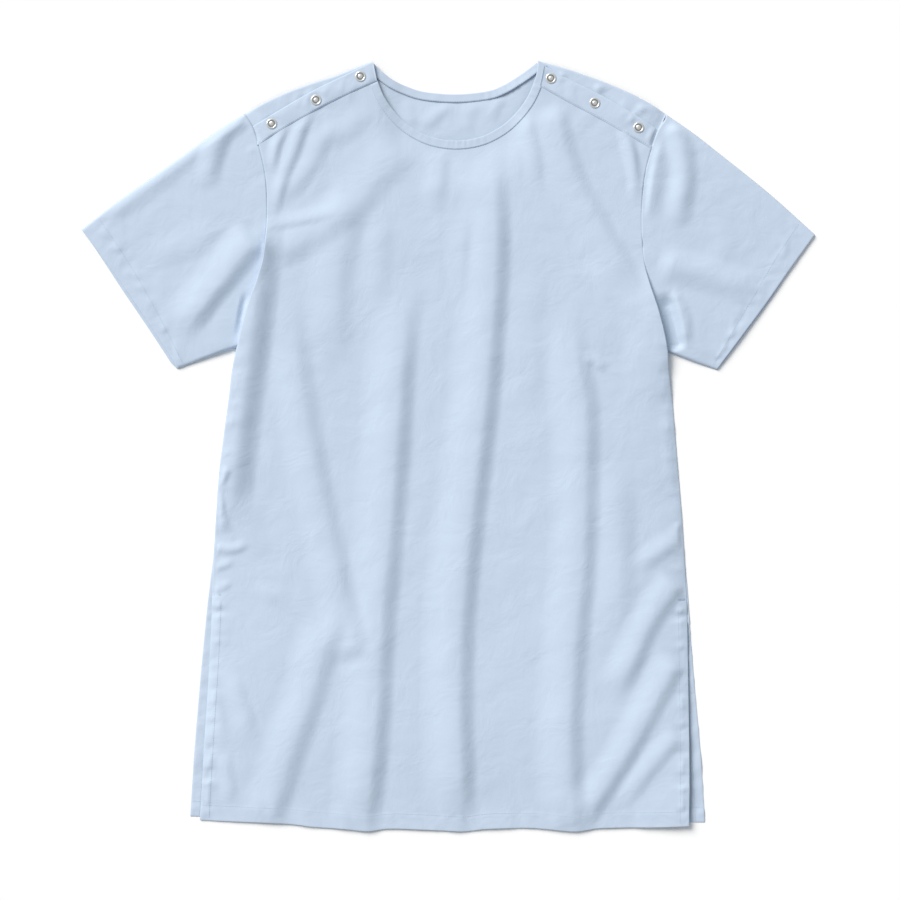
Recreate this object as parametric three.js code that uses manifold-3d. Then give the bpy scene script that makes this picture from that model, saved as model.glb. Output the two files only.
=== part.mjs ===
// A patient gown with snap shoulders, lying flat on its back. Millimetres, +Z up, +Y towards the neck.
// The wearer's left is +X. The origin is the middle of the footprint, on the surface it lies on.
import * as THREE from "three";
import { mergeVertices } from "three/addons/utils/BufferGeometryUtils.js";
import Module from "manifold-3d";

const wasm = await Module();
wasm.setup();

// ---- Driving dimensions. A depth is measured down the gown from its two neck points. ----

const gown = {
  length: 1042, // neck points to the lowest point of the hem
  chest: 586, // across the front, underarm to underarm
  slitWidth: 647, // across, at the top of the side slits
  hemBack: 692, // across the back panel's hem
  hemFront: 659, // across the front panel's hem
  hemDrop: 16, // the hem hangs this much lower in the middle
  slit: 313, // length of each side slit, up from the hem's lowest point
};

const neck = { width: 223, frontDepth: 108, backDepth: 45, binding: 11.5 };

const armhole = {
  shoulderInset: 16, // the shoulder point lies this far in from the underarm
  topDepth: 66,
  waistInset: 42.5, // how far the narrowest place lies in from the underarm
  waistDepth: 213,
  underarmDepth: 401,
};

const sleeve = {
  length: 274.4, // along the top fold
  slope: 37, // degrees below level
  cuff: 229, // along the hem
  cuffTurn: 125, // degrees below level, from the top fold's end to the underarm end
  head: 14, // the part beside the armhole that stays put when the sleeve folds
};

const shoulder = {
  seamNeckDepth: 31, // where the strip's seam meets the neck edge
  seamArmDepth: 117, // where it meets the armhole
  strip: 26, // width of the strip that carries the sockets
  allowance: 6, // front cloth that runs on under the strip
  underlap: 8, // back cloth that runs on past the strip's seam
  bulge: 5, // how far the shoulder fold bows out
  foldNeckX: 45, // where the turned-down corner's fold meets the neck edge
};

const snap = {
  count: 3,
  neckGap: 0.4, // first cap's rim, from the neck binding
  armEnd: 28.5, // last snap's centre, from the armhole end of the strip's seam
  offset: 17, // centres, above the strip's seam
  capRadius: 7.2,
  socketRadius: 5.2,
  studRadius: 5,
  headRadius: 2.2,
  tubeRadius: 1.6,
  postRadius: 1,
  sheet: 0.6, // thickness of the pressed brass
};

const cloth = 1.2; // one thickness of cloth, as a solid that can be simulated
const seat = 0.3; // gap between pieces that touch
const bodyRoom = 6.9; // between the back and the front, where the wearer goes
const snapRoom = 3.3; // between the two cloths that a closed snap joins
const sideSeam = 8; // width of the sewn side seam
const bartack = { length: 12, width: 3, height: 0.8 };

// ---- Levels, from the surface up. ----

const level = {};
level.back = cloth;
level.front = level.back + bodyRoom;
level.frontTop = level.front + cloth;
level.strip = level.frontTop + seat;
level.stripTop = level.strip + cloth;
level.underlapTop = level.strip - snapRoom;
level.underlap = level.underlapTop - cloth;
level.facing = level.underlap - seat - cloth;

// ---- Places, for the wearer's left half (+X). ----

const depth = (d) => gown.length / 2 - d;
const slitY = gown.slit - gown.length / 2;
const underarm = [gown.chest / 2, depth(armhole.underarmDepth)];
const shoulderPoint = [gown.chest / 2 - armhole.shoulderInset, depth(armhole.topDepth)];
const neckPoint = [neck.width / 2, depth(0)];

const polar = ([x, y], length, degreesDown) => {
  const a = THREE.MathUtils.degToRad(degreesDown);
  return [x + length * Math.cos(a), y - length * Math.sin(a)];
};
const cuffTop = polar(shoulderPoint, sleeve.length, sleeve.slope);
const cuffBottom = polar(cuffTop, sleeve.cuff, sleeve.cuffTurn);

// A point of the neck edge, grown outwards by a margin, at a height y.
function neckEdge(y, margin = 0) {
  const a = neck.width / 2 + margin;
  const b = neck.frontDepth + margin;
  return [a * Math.sqrt(Math.max(0, 1 - ((depth(0) - y) / b) ** 2)), y];
}

// The armhole, from the underarm up to the shoulder point, moved sideways by dx.
function armholeCurve(dx, steps = 14) {
  const inset = (share) => gown.chest / 2 - armhole.waistInset * share + dx;
  const between = (d, share) => d + (armhole.waistDepth - d) * share;
  const curve = new THREE.SplineCurve([
    new THREE.Vector2(underarm[0] + dx, underarm[1]),
    new THREE.Vector2(inset(0.45), depth(between(armhole.underarmDepth, 0.41))),
    new THREE.Vector2(inset(0.92), depth(between(armhole.underarmDepth, 0.77))),
    new THREE.Vector2(inset(1), depth(armhole.waistDepth)),
    new THREE.Vector2(inset(0.68), depth(between(armhole.topDepth, 0.35))),
    new THREE.Vector2(shoulderPoint[0] + dx, shoulderPoint[1]),
  ]);
  return curve.getPoints(steps).map((p) => [p.x, p.y]);
}

// The armhole's x at a height y.
function armholeX(y, dx = 0) {
  const line = armholeCurve(dx, 60);
  const i = line.findIndex((p) => p[1] >= y);
  const [a, b] = [line[Math.max(i - 1, 0)], line[Math.max(i, 1)]];
  return a[0] + ((b[0] - a[0]) * (y - a[1])) / (b[1] - a[1]);
}

// A bow from a to b that swells by "bulge" to the left of the way it goes.
function bow(a, b, bulge, steps = 8) {
  const [dx, dy] = [b[0] - a[0], b[1] - a[1]];
  const length = Math.hypot(dx, dy);
  const middle = new THREE.Vector2(
    (a[0] + b[0]) / 2 - (dy / length) * 2 * bulge,
    (a[1] + b[1]) / 2 + (dx / length) * 2 * bulge,
  );
  const curve = new THREE.QuadraticBezierCurve(new THREE.Vector2(...a), middle, new THREE.Vector2(...b));
  return curve.getPoints(steps).map((p) => [p.x, p.y]);
}

const seamNeck = neckEdge(depth(shoulder.seamNeckDepth));
const seamArmY = depth(shoulder.seamArmDepth);
const seamArm = [armholeX(seamArmY), seamArmY];
const seamLength = Math.hypot(seamArm[0] - seamNeck[0], seamArm[1] - seamNeck[1]);
const along = [(seamArm[0] - seamNeck[0]) / seamLength, (seamArm[1] - seamNeck[1]) / seamLength];
const above = [-along[1], along[0]];

// A point of the strip: s along its seam from the neck, h above the seam.
const onStrip = (s, h) => [
  seamNeck[0] + along[0] * s + above[0] * h,
  seamNeck[1] + along[1] * s + above[1] * h,
];

// Slides a point along the line h above the strip's seam until it meets an edge, given as x at a height.
function slideTo(edgeX, h, start) {
  let s = start;
  for (let i = 0; i < 40; i++) {
    const [x, y] = onStrip(s, h);
    s += (edgeX(y) - x) / along[0] / 2;
  }
  return onStrip(s, h);
}

// Where that line meets the neck edge, grown by a margin, and the armhole, moved in by a gap.
const stripNeckEnd = (h, margin = 0) => slideTo((y) => neckEdge(y, margin)[0], h, 0);
const stripArmEnd = (h, gap) => slideTo((y) => armholeX(y, -gap), h, seamLength);

const beyondBinding = stripNeckEnd(snap.offset, neck.binding + snap.capRadius + snap.neckGap);
const lastSnap = onStrip(seamLength - snap.armEnd, snap.offset);
const snapCentres = Array.from({ length: snap.count }, (_, i) => {
  const share = i / (snap.count - 1);
  return beyondBinding.map((v, k) => v + (lastSnap[k] - v) * share);
});

// The fold of the turned-down corner, from the armhole to the neck edge.
const foldNeckDrop =
  neck.frontDepth * Math.sqrt(1 - (shoulder.foldNeckX / (neck.width / 2)) ** 2);
const foldNeck = [shoulder.foldNeckX, depth(foldNeckDrop)];
const foldSlope = (foldNeck[1] - seamArm[1]) / (foldNeck[0] - seamArm[0]);
const foldY = (x) => seamArm[1] + (x - seamArm[0]) * foldSlope;

// Where the fold, moved up by a gap, meets the neck edge grown by a margin.
function foldAtNeck(margin, gap) {
  let x = shoulder.foldNeckX;
  for (let i = 0; i < 60; i++) x += (neckEdge(foldY(x) + gap, margin)[0] - x) / 3;
  return [x, foldY(x) + gap];
}

// ---- Making solids. ----

function toSolid(geometry) {
  const bare = geometry.index ? geometry.toNonIndexed() : geometry.clone();
  bare.deleteAttribute("normal");
  bare.deleteAttribute("uv");
  const merged = mergeVertices(bare, 1e-4);
  return new wasm.Manifold(
    new wasm.Mesh({
      numProp: 3,
      vertProperties: merged.attributes.position.array,
      triVerts: new Uint32Array(merged.index.array),
    }),
  );
}

function toGeometry(solid) {
  const { vertProperties, triVerts } = solid.getMesh();
  const geometry = new THREE.BufferGeometry();
  geometry.setAttribute("position", new THREE.BufferAttribute(vertProperties, 3));
  geometry.setIndex(new THREE.BufferAttribute(triVerts, 1));
  geometry.computeVertexNormals();
  return geometry;
}

// A flat sheet of a given outline between two levels.
function slab(outline, low, high) {
  const shape = new THREE.Shape(outline.map((p) => new THREE.Vector2(...p)));
  const geometry = new THREE.ExtrudeGeometry(shape, { depth: high - low, bevelEnabled: false });
  return toSolid(geometry.translate(0, 0, low));
}

// A round piece from a closed profile of [radius, height] points, standing on a centre.
function turned(profile, centre = [0, 0], segments = 20) {
  const points = profile.map((p) => new THREE.Vector2(...p));
  const geometry = new THREE.LatheGeometry(points, segments).rotateX(Math.PI / 2);
  return geometry.translate(centre[0], centre[1], 0);
}

// A solid with a round hole through it at each snap.
function withSnapHoles(solid, radius) {
  const reach = 40;
  return snapCentres.reduce((left, centre) => {
    const drill = turned([[0, -reach], [radius, -reach], [radius, reach], [0, reach]], centre, 16);
    return left.subtract(toSolid(drill));
  }, solid);
}

const mirrored = (outline) => outline.map(([x, y]) => [-x, y]).reverse();

// Both halves of an outline that starts and ends on the middle line.
const wholeOutline = (half) => [...half, ...mirrored(half).slice(1, -1)];

// ---- Materials. ----

const cottonBlue = new THREE.MeshStandardMaterial({ color: 0xc3d5ea, roughness: 0.85, metalness: 0 });
const bindingBlue = new THREE.MeshStandardMaterial({ color: 0xb9cde6, roughness: 0.85, metalness: 0 });
const threadBlue = new THREE.MeshStandardMaterial({ color: 0xa9c0de, roughness: 0.7, metalness: 0 });
const nickel = new THREE.MeshStandardMaterial({ color: 0xd8d8d4, roughness: 0.25, metalness: 1 });

function named(name, shape, material) {
  const geometry = shape.isBufferGeometry ? shape : toGeometry(shape);
  const mesh = new THREE.Mesh(geometry, material);
  mesh.name = name;
  return mesh;
}

// ---- The two panels. ----

// A hem from the middle out to a corner, hanging lower in the middle.
function hem(halfWidth, steps = 8) {
  const low = -gown.length / 2;
  return Array.from({ length: steps + 1 }, (_, i) => {
    const x = (halfWidth * i) / steps;
    return [x, low + gown.hemDrop * Math.sin((Math.PI / 2) * (i / steps)) ** 2];
  });
}

const shoulderFold = () => bow(neckPoint, shoulderPoint, shoulder.bulge);

// The back neck edge, grown downwards by a margin, from the middle out to a share of its width.
function backNeckArc(margin = 0, share = 1, steps = 12) {
  const half = neck.width / 2;
  const radius = (half ** 2 + neck.backDepth ** 2) / (2 * neck.backDepth) + margin;
  const centreY = depth(neck.backDepth + margin) + radius;
  const reach = Math.asin((half / (radius - margin)) * share);
  return Array.from({ length: steps + 1 }, (_, i) => {
    const a = (reach * i) / steps;
    return [radius * Math.sin(a), centreY - radius * Math.cos(a)];
  });
}

function backPanel() {
  const half = [
    ...hem(gown.hemBack / 2),
    [gown.slitWidth / 2, slitY],
    ...armholeCurve(-seat / 2),
    ...shoulderFold().reverse().slice(1, -1),
    ...backNeckArc().reverse(),
  ];
  const flat = slab(wholeOutline(half), 0, level.back);

  // Over each shoulder the cloth turns forwards and runs on under the strip.
  const fold = shoulderFold().slice(1);
  const inside = fold.map(([x, y]) => [x - 0.3 * cloth, y - 1.2 * cloth]);
  const foldEnd = [armholeX(seamArm[1], -seat), seamArm[1]];
  const turnedOver = [
    ...fold,
    [armholeX(depth(armhole.topDepth + 20), -seat), depth(armhole.topDepth + 20)],
    foldEnd,
    stripArmEnd(-shoulder.underlap, seat),
    stripNeckEnd(-shoulder.underlap, neck.binding),
    stripNeckEnd(shoulder.strip * 0.75, neck.binding * 0.5),
  ];
  const wall = slab([...fold, ...inside.reverse()], 0, level.underlapTop);
  const top = withSnapHoles(slab(turnedOver, level.underlap, level.underlapTop), snap.postRadius + seat);
  const left = wall.add(top);
  return flat.add(left).add(left.mirror([1, 0, 0]));
}

function frontPanel() {
  const neckLine = foldAtNeck(neck.binding + seat, -seat);
  const binding = [];
  const steps = 6;
  for (let i = 0; i <= steps; i++) {
    const x = (neckLine[0] * (steps - i)) / steps;
    const a = neck.width / 2 + neck.binding + seat;
    const b = neck.frontDepth + neck.binding + seat;
    binding.push([x, depth(b * Math.sqrt(1 - (x / a) ** 2))]);
  }
  const armholeSide = armholeCurve(-seat / 2).filter((p) => p[1] < seamArm[1] - 1);
  const half = [
    [0, slitY + seat / 2],
    [gown.slitWidth / 2, slitY + seat / 2],
    ...armholeSide,
    [armholeX(seamArm[1] - seat, -seat / 2), seamArm[1] - seat],
    ...binding,
  ];
  return slab(wholeOutline(half), level.front, level.frontTop);
}

function frontSkirt() {
  const half = [...hem(gown.hemFront / 2), [gown.slitWidth / 2, slitY - seat / 2], [0, slitY - seat / 2]];
  return slab(wholeOutline(half), level.front, level.frontTop);
}

// ---- Neck finishing. ----

// A stretch of the front neck binding between two heights' places on the neck edge.
function bindingSector(innerPoints, low, high) {
  const inner = innerPoints.map(([, y]) => neckEdge(y));
  const centreY = depth(0);
  const outer = inner.map(([x, y]) => {
    const a = Math.atan2((centreY - y) / neck.frontDepth, x / (neck.width / 2));
    return [
      (neck.width / 2 + neck.binding) * Math.cos(a),
      centreY - (neck.frontDepth + neck.binding) * Math.sin(a),
    ];
  });
  return slab([...inner, ...outer.reverse()], low, high);
}

// Heights between two values, for walking along the neck edge by equal turns.
function neckHeights(fromY, toY, steps) {
  const turn = (y) => Math.asin(THREE.MathUtils.clamp((depth(0) - y) / neck.frontDepth, 0, 1));
  return Array.from({ length: steps + 1 }, (_, i) => {
    const a = turn(fromY) + ((turn(toY) - turn(fromY)) * i) / steps;
    return [0, depth(neck.frontDepth * Math.sin(a))];
  });
}

// Everything on one side of the corner's fold, moved up by a gap.
function foldSide(reach, gap) {
  const [near, far] = [-1, gown.chest];
  const outline = [
    [near, foldY(near) + gap],
    [far, foldY(far) + gap],
    [far, foldY(far) + reach],
    [near, foldY(near) + reach],
  ];
  return slab(reach > 0 ? outline : outline.reverse(), 0, 2 * level.stripTop);
}

function frontNeckBinding() {
  const endY = foldAtNeck(0, neck.binding)[1];
  const heights = neckHeights(endY, depth(neck.frontDepth), 6);
  const sector = bindingSector(heights, level.front - seat, level.frontTop);
  const half = sector.intersect(foldSide(-gown.length, -seat));
  return half.add(half.mirror([1, 0, 0]));
}

function backNeckFacing() {
  const half = [...backNeckArc(seat, 0.96), ...backNeckArc(neck.binding, 0.96).reverse()];
  return slab(wholeOutline(half), level.back + seat, level.back + seat + cloth);
}

// ---- The pieces of one side. ----

function frontCorner() {
  const low = foldAtNeck(neck.binding + seat, seat);
  const top = stripNeckEnd(shoulder.allowance, neck.binding + seat);
  const neckSide = neckHeights(top[1], low[1], 7).map(([, y]) => neckEdge(y, neck.binding + seat));
  const outline = [
    [armholeX(seamArm[1] + seat, -seat), seamArm[1] + seat],
    stripArmEnd(shoulder.allowance, seat),
    top,
    ...neckSide.slice(1, -1),
    low,
  ];
  return slab(outline, level.front, level.frontTop);
}

function cornerBinding() {
  const low = foldAtNeck(0, seat);
  const top = stripNeckEnd(shoulder.allowance);
  const sector = bindingSector(neckHeights(low[1], top[1], 8), level.front - seat, level.frontTop);
  return sector.intersect(foldSide(gown.length, seat));
}

// The strip over the shoulder. Its neck end stops short where a binding finishes it.
function shoulderStrip() {
  const margin = neck.binding + seat;
  const [low, high] = [stripNeckEnd(0, margin), stripNeckEnd(shoulder.strip, margin)];
  const neckSide = neckHeights(high[1], low[1], 4).map(([, y]) => neckEdge(y, margin));
  const outline = [
    low,
    stripArmEnd(0, seat),
    stripArmEnd(shoulder.strip, seat),
    high,
    ...neckSide.slice(1, -1),
  ];
  return withSnapHoles(slab(outline, level.strip, level.stripTop), snap.tubeRadius + seat);
}

function stripEndBinding() {
  const heights = neckHeights(stripNeckEnd(0)[1], stripNeckEnd(shoulder.strip)[1], 4);
  return bindingSector(heights, level.strip, level.stripTop + seat);
}

function underlapFacing() {
  const margin = neck.binding;
  const outline = [
    stripNeckEnd(seat, margin),
    stripArmEnd(seat, 2 * seat),
    stripArmEnd(shoulder.strip - seat, 2 * seat),
    stripNeckEnd(shoulder.strip * 0.7, margin),
  ];
  const sheet = slab(outline, level.facing, level.facing + cloth);
  return withSnapHoles(sheet, snap.postRadius + seat);
}

// The fold of the sleeve runs from the top fold down to the underarm seam, just outside the armhole.
function sleeveFold(gap) {
  const topEdge = bow(shoulderPoint, cuffTop, shoulder.bulge, 24);
  const x = shoulderPoint[0] + sleeve.head + gap;
  const i = topEdge.findIndex((p) => p[0] >= x);
  const [a, b] = [topEdge[i - 1], topEdge[i]];
  const y = a[1] + ((b[1] - a[1]) * (x - a[0])) / (b[0] - a[0]);
  const share = (sleeve.head + gap) / (cuffBottom[0] - underarm[0]);
  const low = [underarm[0] + sleeve.head + gap, underarm[1] + (cuffBottom[1] - underarm[1]) * share];
  return { top: [x, y], low };
}

const moved = (points, [dx, dy]) => points.map(([x, y]) => [x + dx, y + dy]);

function sleeveTube() {
  const { top, low } = sleeveFold(seat / 2);
  const topEdge = [top, ...bow(shoulderPoint, cuffTop, shoulder.bulge, 10).filter((p) => p[0] > top[0] + 1)];
  const shell = slab([...topEdge, cuffBottom, low], 0, level.frontTop);
  const reach = 30;
  const cuffWay = [reach * 0.82, -reach * 0.57];
  const cavity = [
    [top[0] - reach, top[1] + reach * 0.6],
    ...topEdge,
    [cuffTop[0] + cuffWay[0], cuffTop[1] + cuffWay[1]],
  ];
  const inside = [
    ...moved(cavity, [-cloth * 0.6, -cloth * 0.8 - cloth]),
    [cuffBottom[0] + cuffWay[0], cuffBottom[1] + cuffWay[1] + cloth],
    [cuffBottom[0], cuffBottom[1] + cloth * 1.4],
    [low[0], low[1] + cloth * 1.4],
    [low[0] - reach, low[1] + cloth * 1.4 + reach * 0.24],
  ];
  return shell.subtract(slab(inside, level.back, level.front));
}

function sleeveHead() {
  const { top, low } = sleeveFold(-seat / 2);
  const armholeSide = armholeCurve(seat / 2);
  const shell = slab([...armholeSide, top, low], 0, level.frontTop);
  const wall = 3 * cloth;
  const reach = 20;
  const inside = [
    [top[0] + reach, top[1] - wall - reach * 0.65],
    [top[0] - reach - sleeve.head, top[1] - wall],
    [armholeX(depth(armhole.waistDepth)) - reach, depth(armhole.waistDepth)],
    [low[0] - reach - sleeve.head, low[1] + wall],
    [low[0] + reach, low[1] + wall],
  ];
  return shell.subtract(slab(inside, level.back, level.front));
}

function sideSeamStrip() {
  const outer = [
    [underarm[0] - seat, underarm[1] - seat],
    [gown.slitWidth / 2 - seat, slitY + 2 * seat],
  ];
  const inner = moved(outer, [-sideSeam, 0]).reverse();
  return slab([...outer, ...inner], level.back + seat, level.front - seat);
}

function slitBartack() {
  const x = gown.slitWidth / 2 - sideSeam - bartack.length / 2;
  const y = slitY + 4 * seat;
  const outline = [
    [x, y],
    [x + bartack.length, y],
    [x + bartack.length, y + bartack.width],
    [x, y + bartack.width],
  ];
  return slab(outline, level.frontTop + seat, level.frontTop + seat + bartack.height);
}

// ---- One snap, from the top down: cap, socket, stud, post. ----

function snapCap(centre) {
  const bottom = level.stripTop + seat / 3;
  const { capRadius: r, sheet, tubeRadius } = snap;
  const tubeEnd = level.strip - seat;
  return turned(
    [
      [0, tubeEnd],
      [tubeRadius, tubeEnd],
      [tubeRadius, bottom],
      [r, bottom],
      [r, bottom + sheet],
      [r * 0.86, bottom + 2 * sheet],
      [r * 0.66, bottom + 1.6 * sheet],
      [r * 0.5, bottom + sheet],
      [r * 0.4, bottom + 1.6 * sheet],
      [r * 0.22, bottom + 2.6 * sheet],
      [0, bottom + 3 * sheet],
    ],
    centre,
    24,
  );
}

function snapSocket(centre) {
  const top = level.strip - seat / 3;
  const low = level.underlapTop + snap.sheet + 2 * seat;
  const { socketRadius: r, headRadius, tubeRadius, sheet } = snap;
  const bore = headRadius + seat * 0.6;
  return turned(
    [
      [tubeRadius + seat / 2, top],
      [tubeRadius + seat / 2, top - sheet],
      [bore + 0.3, top - sheet],
      [bore + 0.3, low + sheet],
      [bore, low],
      [r * 0.8, low],
      [r, top - sheet],
      [r, top],
      [tubeRadius + seat / 2, top],
    ],
    centre,
  );
}

function snapStud(centre) {
  const low = level.underlapTop + seat / 3;
  const { studRadius: r, headRadius: head, sheet, postRadius } = snap;
  const bore = postRadius + seat * 0.7;
  const top = level.strip - seat - sheet - seat;
  return turned(
    [
      [bore, low],
      [r, low],
      [r, low + sheet],
      [head * 0.8, low + sheet],
      [head, top - 2 * seat],
      [head * 0.7, top],
      [0, top],
      [0, top - sheet],
      [bore, top - sheet],
      [bore, low],
    ],
    centre,
  );
}

function snapPost(centre) {
  const top = level.facing - seat / 3;
  const { studRadius: r, postRadius, sheet } = snap;
  const tip = level.underlapTop + sheet;
  return turned(
    [
      [0, top - sheet],
      [r, top - sheet],
      [r, top],
      [postRadius, top],
      [postRadius, tip],
      [0, tip],
    ],
    centre,
  );
}

// ---- Assembly. ----

function makeSide(side) {
  const group = new THREE.Group();
  group.scale.x = side === "left" ? 1 : -1;
  group.add(
    named(`${side}_sleeve_head`, sleeveHead(), cottonBlue),
    named(`${side}_sleeve`, sleeveTube(), cottonBlue),
    named(`${side}_front_corner`, frontCorner(), cottonBlue),
    named(`${side}_neck_binding`, cornerBinding(), bindingBlue),
    named(`${side}_shoulder_strip`, shoulderStrip(), cottonBlue),
    named(`${side}_underlap_facing`, underlapFacing(), cottonBlue),
    named(`${side}_side_seam`, sideSeamStrip(), cottonBlue),
    named(`${side}_slit_bartack`, slitBartack(), threadBlue),
    named(`${side}_strip_end_binding`, stripEndBinding(), bindingBlue),
  );
  snapCentres.forEach((centre, i) => {
    const snapName = `${side}_snap_${i + 1}`;
    group.add(
      named(`${snapName}_cap`, snapCap(centre), nickel),
      named(`${snapName}_socket`, snapSocket(centre), nickel),
      named(`${snapName}_stud`, snapStud(centre), nickel),
      named(`${snapName}_post`, snapPost(centre), nickel),
    );
  });
  return group;
}

const patientGown = new THREE.Group();
patientGown.add(
  named("back_panel", backPanel(), cottonBlue),
  named("front_panel", frontPanel(), cottonBlue),
  named("front_skirt", frontSkirt(), cottonBlue),
  named("front_neck_binding", frontNeckBinding(), bindingBlue),
  named("back_neck_facing", backNeckFacing(), bindingBlue),
  makeSide("left"),
  makeSide("right"),
);

export default patientGown;
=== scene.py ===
import math
import bpy
import numpy as np
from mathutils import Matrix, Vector


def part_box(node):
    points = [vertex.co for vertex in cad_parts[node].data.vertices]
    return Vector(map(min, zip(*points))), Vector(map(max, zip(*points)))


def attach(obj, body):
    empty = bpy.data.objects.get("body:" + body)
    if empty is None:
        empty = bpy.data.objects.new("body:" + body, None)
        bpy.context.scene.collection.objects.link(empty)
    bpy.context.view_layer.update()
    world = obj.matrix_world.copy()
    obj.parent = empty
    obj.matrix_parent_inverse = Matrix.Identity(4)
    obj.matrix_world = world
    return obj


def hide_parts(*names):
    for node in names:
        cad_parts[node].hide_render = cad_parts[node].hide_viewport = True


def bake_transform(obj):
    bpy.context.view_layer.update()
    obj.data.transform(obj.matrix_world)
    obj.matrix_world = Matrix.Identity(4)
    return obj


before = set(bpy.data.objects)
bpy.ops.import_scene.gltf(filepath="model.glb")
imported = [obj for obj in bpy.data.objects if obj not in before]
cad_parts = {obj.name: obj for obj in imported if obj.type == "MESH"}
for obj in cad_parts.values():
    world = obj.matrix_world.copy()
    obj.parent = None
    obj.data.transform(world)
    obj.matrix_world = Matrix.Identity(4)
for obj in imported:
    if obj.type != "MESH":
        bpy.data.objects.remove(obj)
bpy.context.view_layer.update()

mm = 0.001

# Everything below is laid out in millimetres: x across, y up towards the neck, z off the table.
# The gown lies on its back, so the wearer's left sleeve is on +x.


# Sums that everything below uses.

def ease(low, high, value):
    t = np.clip((value - low) / (high - low), 0, 1)
    return t * t * (3 - 2 * t)


def quarterRound(distance, radius):
    t = 1 - np.clip(distance / radius, 0, 1)
    return np.sqrt(np.maximum(0, 1 - t * t))


def smoothLine(points, count=60):
    # an even line that runs smoothly through the points
    p = np.array(points, float)
    if len(p) == 2:
        return p[0] + (p[1] - p[0]) * np.linspace(0, 1, count)[:, None]
    ends = np.vstack([2 * p[0] - p[1], p, 2 * p[-1] - p[-2]])
    out = []
    for i in range(len(p) - 1):
        a, b, c, d = ends[i:i + 4]
        t = np.linspace(0, 1, 24, endpoint=False)[:, None]
        out.append(0.5 * (2 * b + (c - a) * t + (2 * a - 5 * b + 4 * c - d) * t ** 2
                          + (3 * b - a - 3 * c + d) * t ** 3))
    return onLine(np.vstack(out + [p[-1:]]), np.linspace(0, 1, count))


def lineLengths(line):
    return np.concatenate([[0], np.cumsum(np.linalg.norm(np.diff(line, axis=0), axis=1))])


def onLine(line, shares):
    s = lineLengths(line)
    at = np.asarray(shares) * s[-1]
    return np.stack([np.interp(at, s, line[:, i]) for i in range(line.shape[1])], -1)


def fromLine(line, x, y):
    # distance to a line, positive on the left of the way it runs, and the share along it
    shape = np.shape(x)
    px, py = np.ravel(x), np.ravel(y)
    s = lineLengths(line)
    best = np.full(px.shape, 1e18)
    away = np.zeros(px.shape)
    share = np.zeros(px.shape)
    for i in range(len(line) - 1):
        ax, ay = line[i]
        dx, dy = line[i + 1] - line[i]
        length = math.hypot(dx, dy)
        if length < 1e-9:
            continue
        t = np.clip(((px - ax) * dx + (py - ay) * dy) / length ** 2, 0, 1)
        ox, oy = px - ax - t * dx, py - ay - t * dy
        d2 = ox * ox + oy * oy
        near = d2 < best
        best[near] = d2[near]
        side = np.sign(dx * oy - dy * ox)
        away[near] = (np.sqrt(d2) * np.where(side == 0, 1, side))[near]
        share[near] = ((s[i] + t * length) / s[-1])[near]
    return away.reshape(shape), share.reshape(shape)


def unevenness(x, y, size, seed):
    # soft seeded lumps from about -1 to 1
    rng = np.random.RandomState(seed)
    table = rng.uniform(-1, 1, (64, 64))
    gx, gy = np.asarray(x) / size + 17.3, np.asarray(y) / size + 29.7
    ix, iy = np.floor(gx).astype(int), np.floor(gy).astype(int)
    fx, fy = gx - ix, gy - iy
    fx, fy = fx * fx * (3 - 2 * fx), fy * fy * (3 - 2 * fy)
    a = table[ix % 64, iy % 64]
    b = table[(ix + 1) % 64, iy % 64]
    c = table[ix % 64, (iy + 1) % 64]
    d = table[(ix + 1) % 64, (iy + 1) % 64]
    return (a * (1 - fx) + b * fx) * (1 - fy) + (c * (1 - fx) + d * fx) * fy


def pucker(along, away, wave, reach, seed):
    # short ripples that stand across a row of stitches and die out away from it
    return unevenness(along, np.zeros_like(along), wave, seed) * np.exp(-np.abs(away) / reach)


def patch(bottom, top, left, right, across, up):
    # a four-sided sheet between four lines, at the given shares across and up
    b, t = onLine(bottom, across), onLine(top, across)
    l, r = onLine(left, up), onLine(right, up)
    u, v = np.asarray(across)[None, :, None], np.asarray(up)[:, None, None]
    flat = (1 - v) * b[None] + v * t[None] + (1 - u) * l[:, None] + u * r[:, None]
    corners = (1 - u) * (1 - v) * b[0] + u * (1 - v) * b[-1] + (1 - u) * v * t[0] + u * v * t[-1]
    return flat - corners


# Meshes.

def gridFaces(rows, cols, closed=False):
    r = np.arange(rows - 1)[:, None]
    c = np.arange(cols if closed else cols - 1)[None, :]
    n = (c + 1) % cols
    return np.stack([r * cols + c, r * cols + n, (r + 1) * cols + n, (r + 1) * cols + c], -1).reshape(-1, 4)


def vertexNormals(points, faces):
    a = points[faces[:, 2]] - points[faces[:, 0]]
    b = points[faces[:, 3]] - points[faces[:, 1]]
    n = np.cross(a, b)
    out = np.zeros_like(points)
    for i in range(4):
        np.add.at(out, faces[:, i], n)
    return out / np.maximum(np.linalg.norm(out, axis=1, keepdims=True), 1e-12)


def makePiece(name, points, faces, material, normals=None):
    # faces may be one array of quads or a list of corner lists; only the points they use are kept
    if isinstance(faces, np.ndarray):
        used, index = np.unique(faces, return_inverse=True)
        faces = index.reshape(faces.shape).tolist()
    else:
        used = np.array(sorted({i for f in faces for i in f}))
        index = {int(v): k for k, v in enumerate(used)}
        faces = [[index[i] for i in f] for f in faces]
    points = np.asarray(points)[used]
    normals = None if normals is None else normals[used]
    mesh = bpy.data.meshes.new(name)
    mesh.from_pydata((np.asarray(points) * mm).tolist(), [], faces)
    # the cut ends of a band stay flat
    mesh.polygons.foreach_set("use_smooth", [len(f) < 5 for f in faces])
    mesh.materials.append(material)
    if normals is not None:
        mesh.normals_split_custom_set_from_vertices(normals.tolist())
    mesh.update()
    piece = bpy.data.objects.new(name, mesh)
    bpy.context.scene.collection.objects.link(piece)
    return piece


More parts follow.
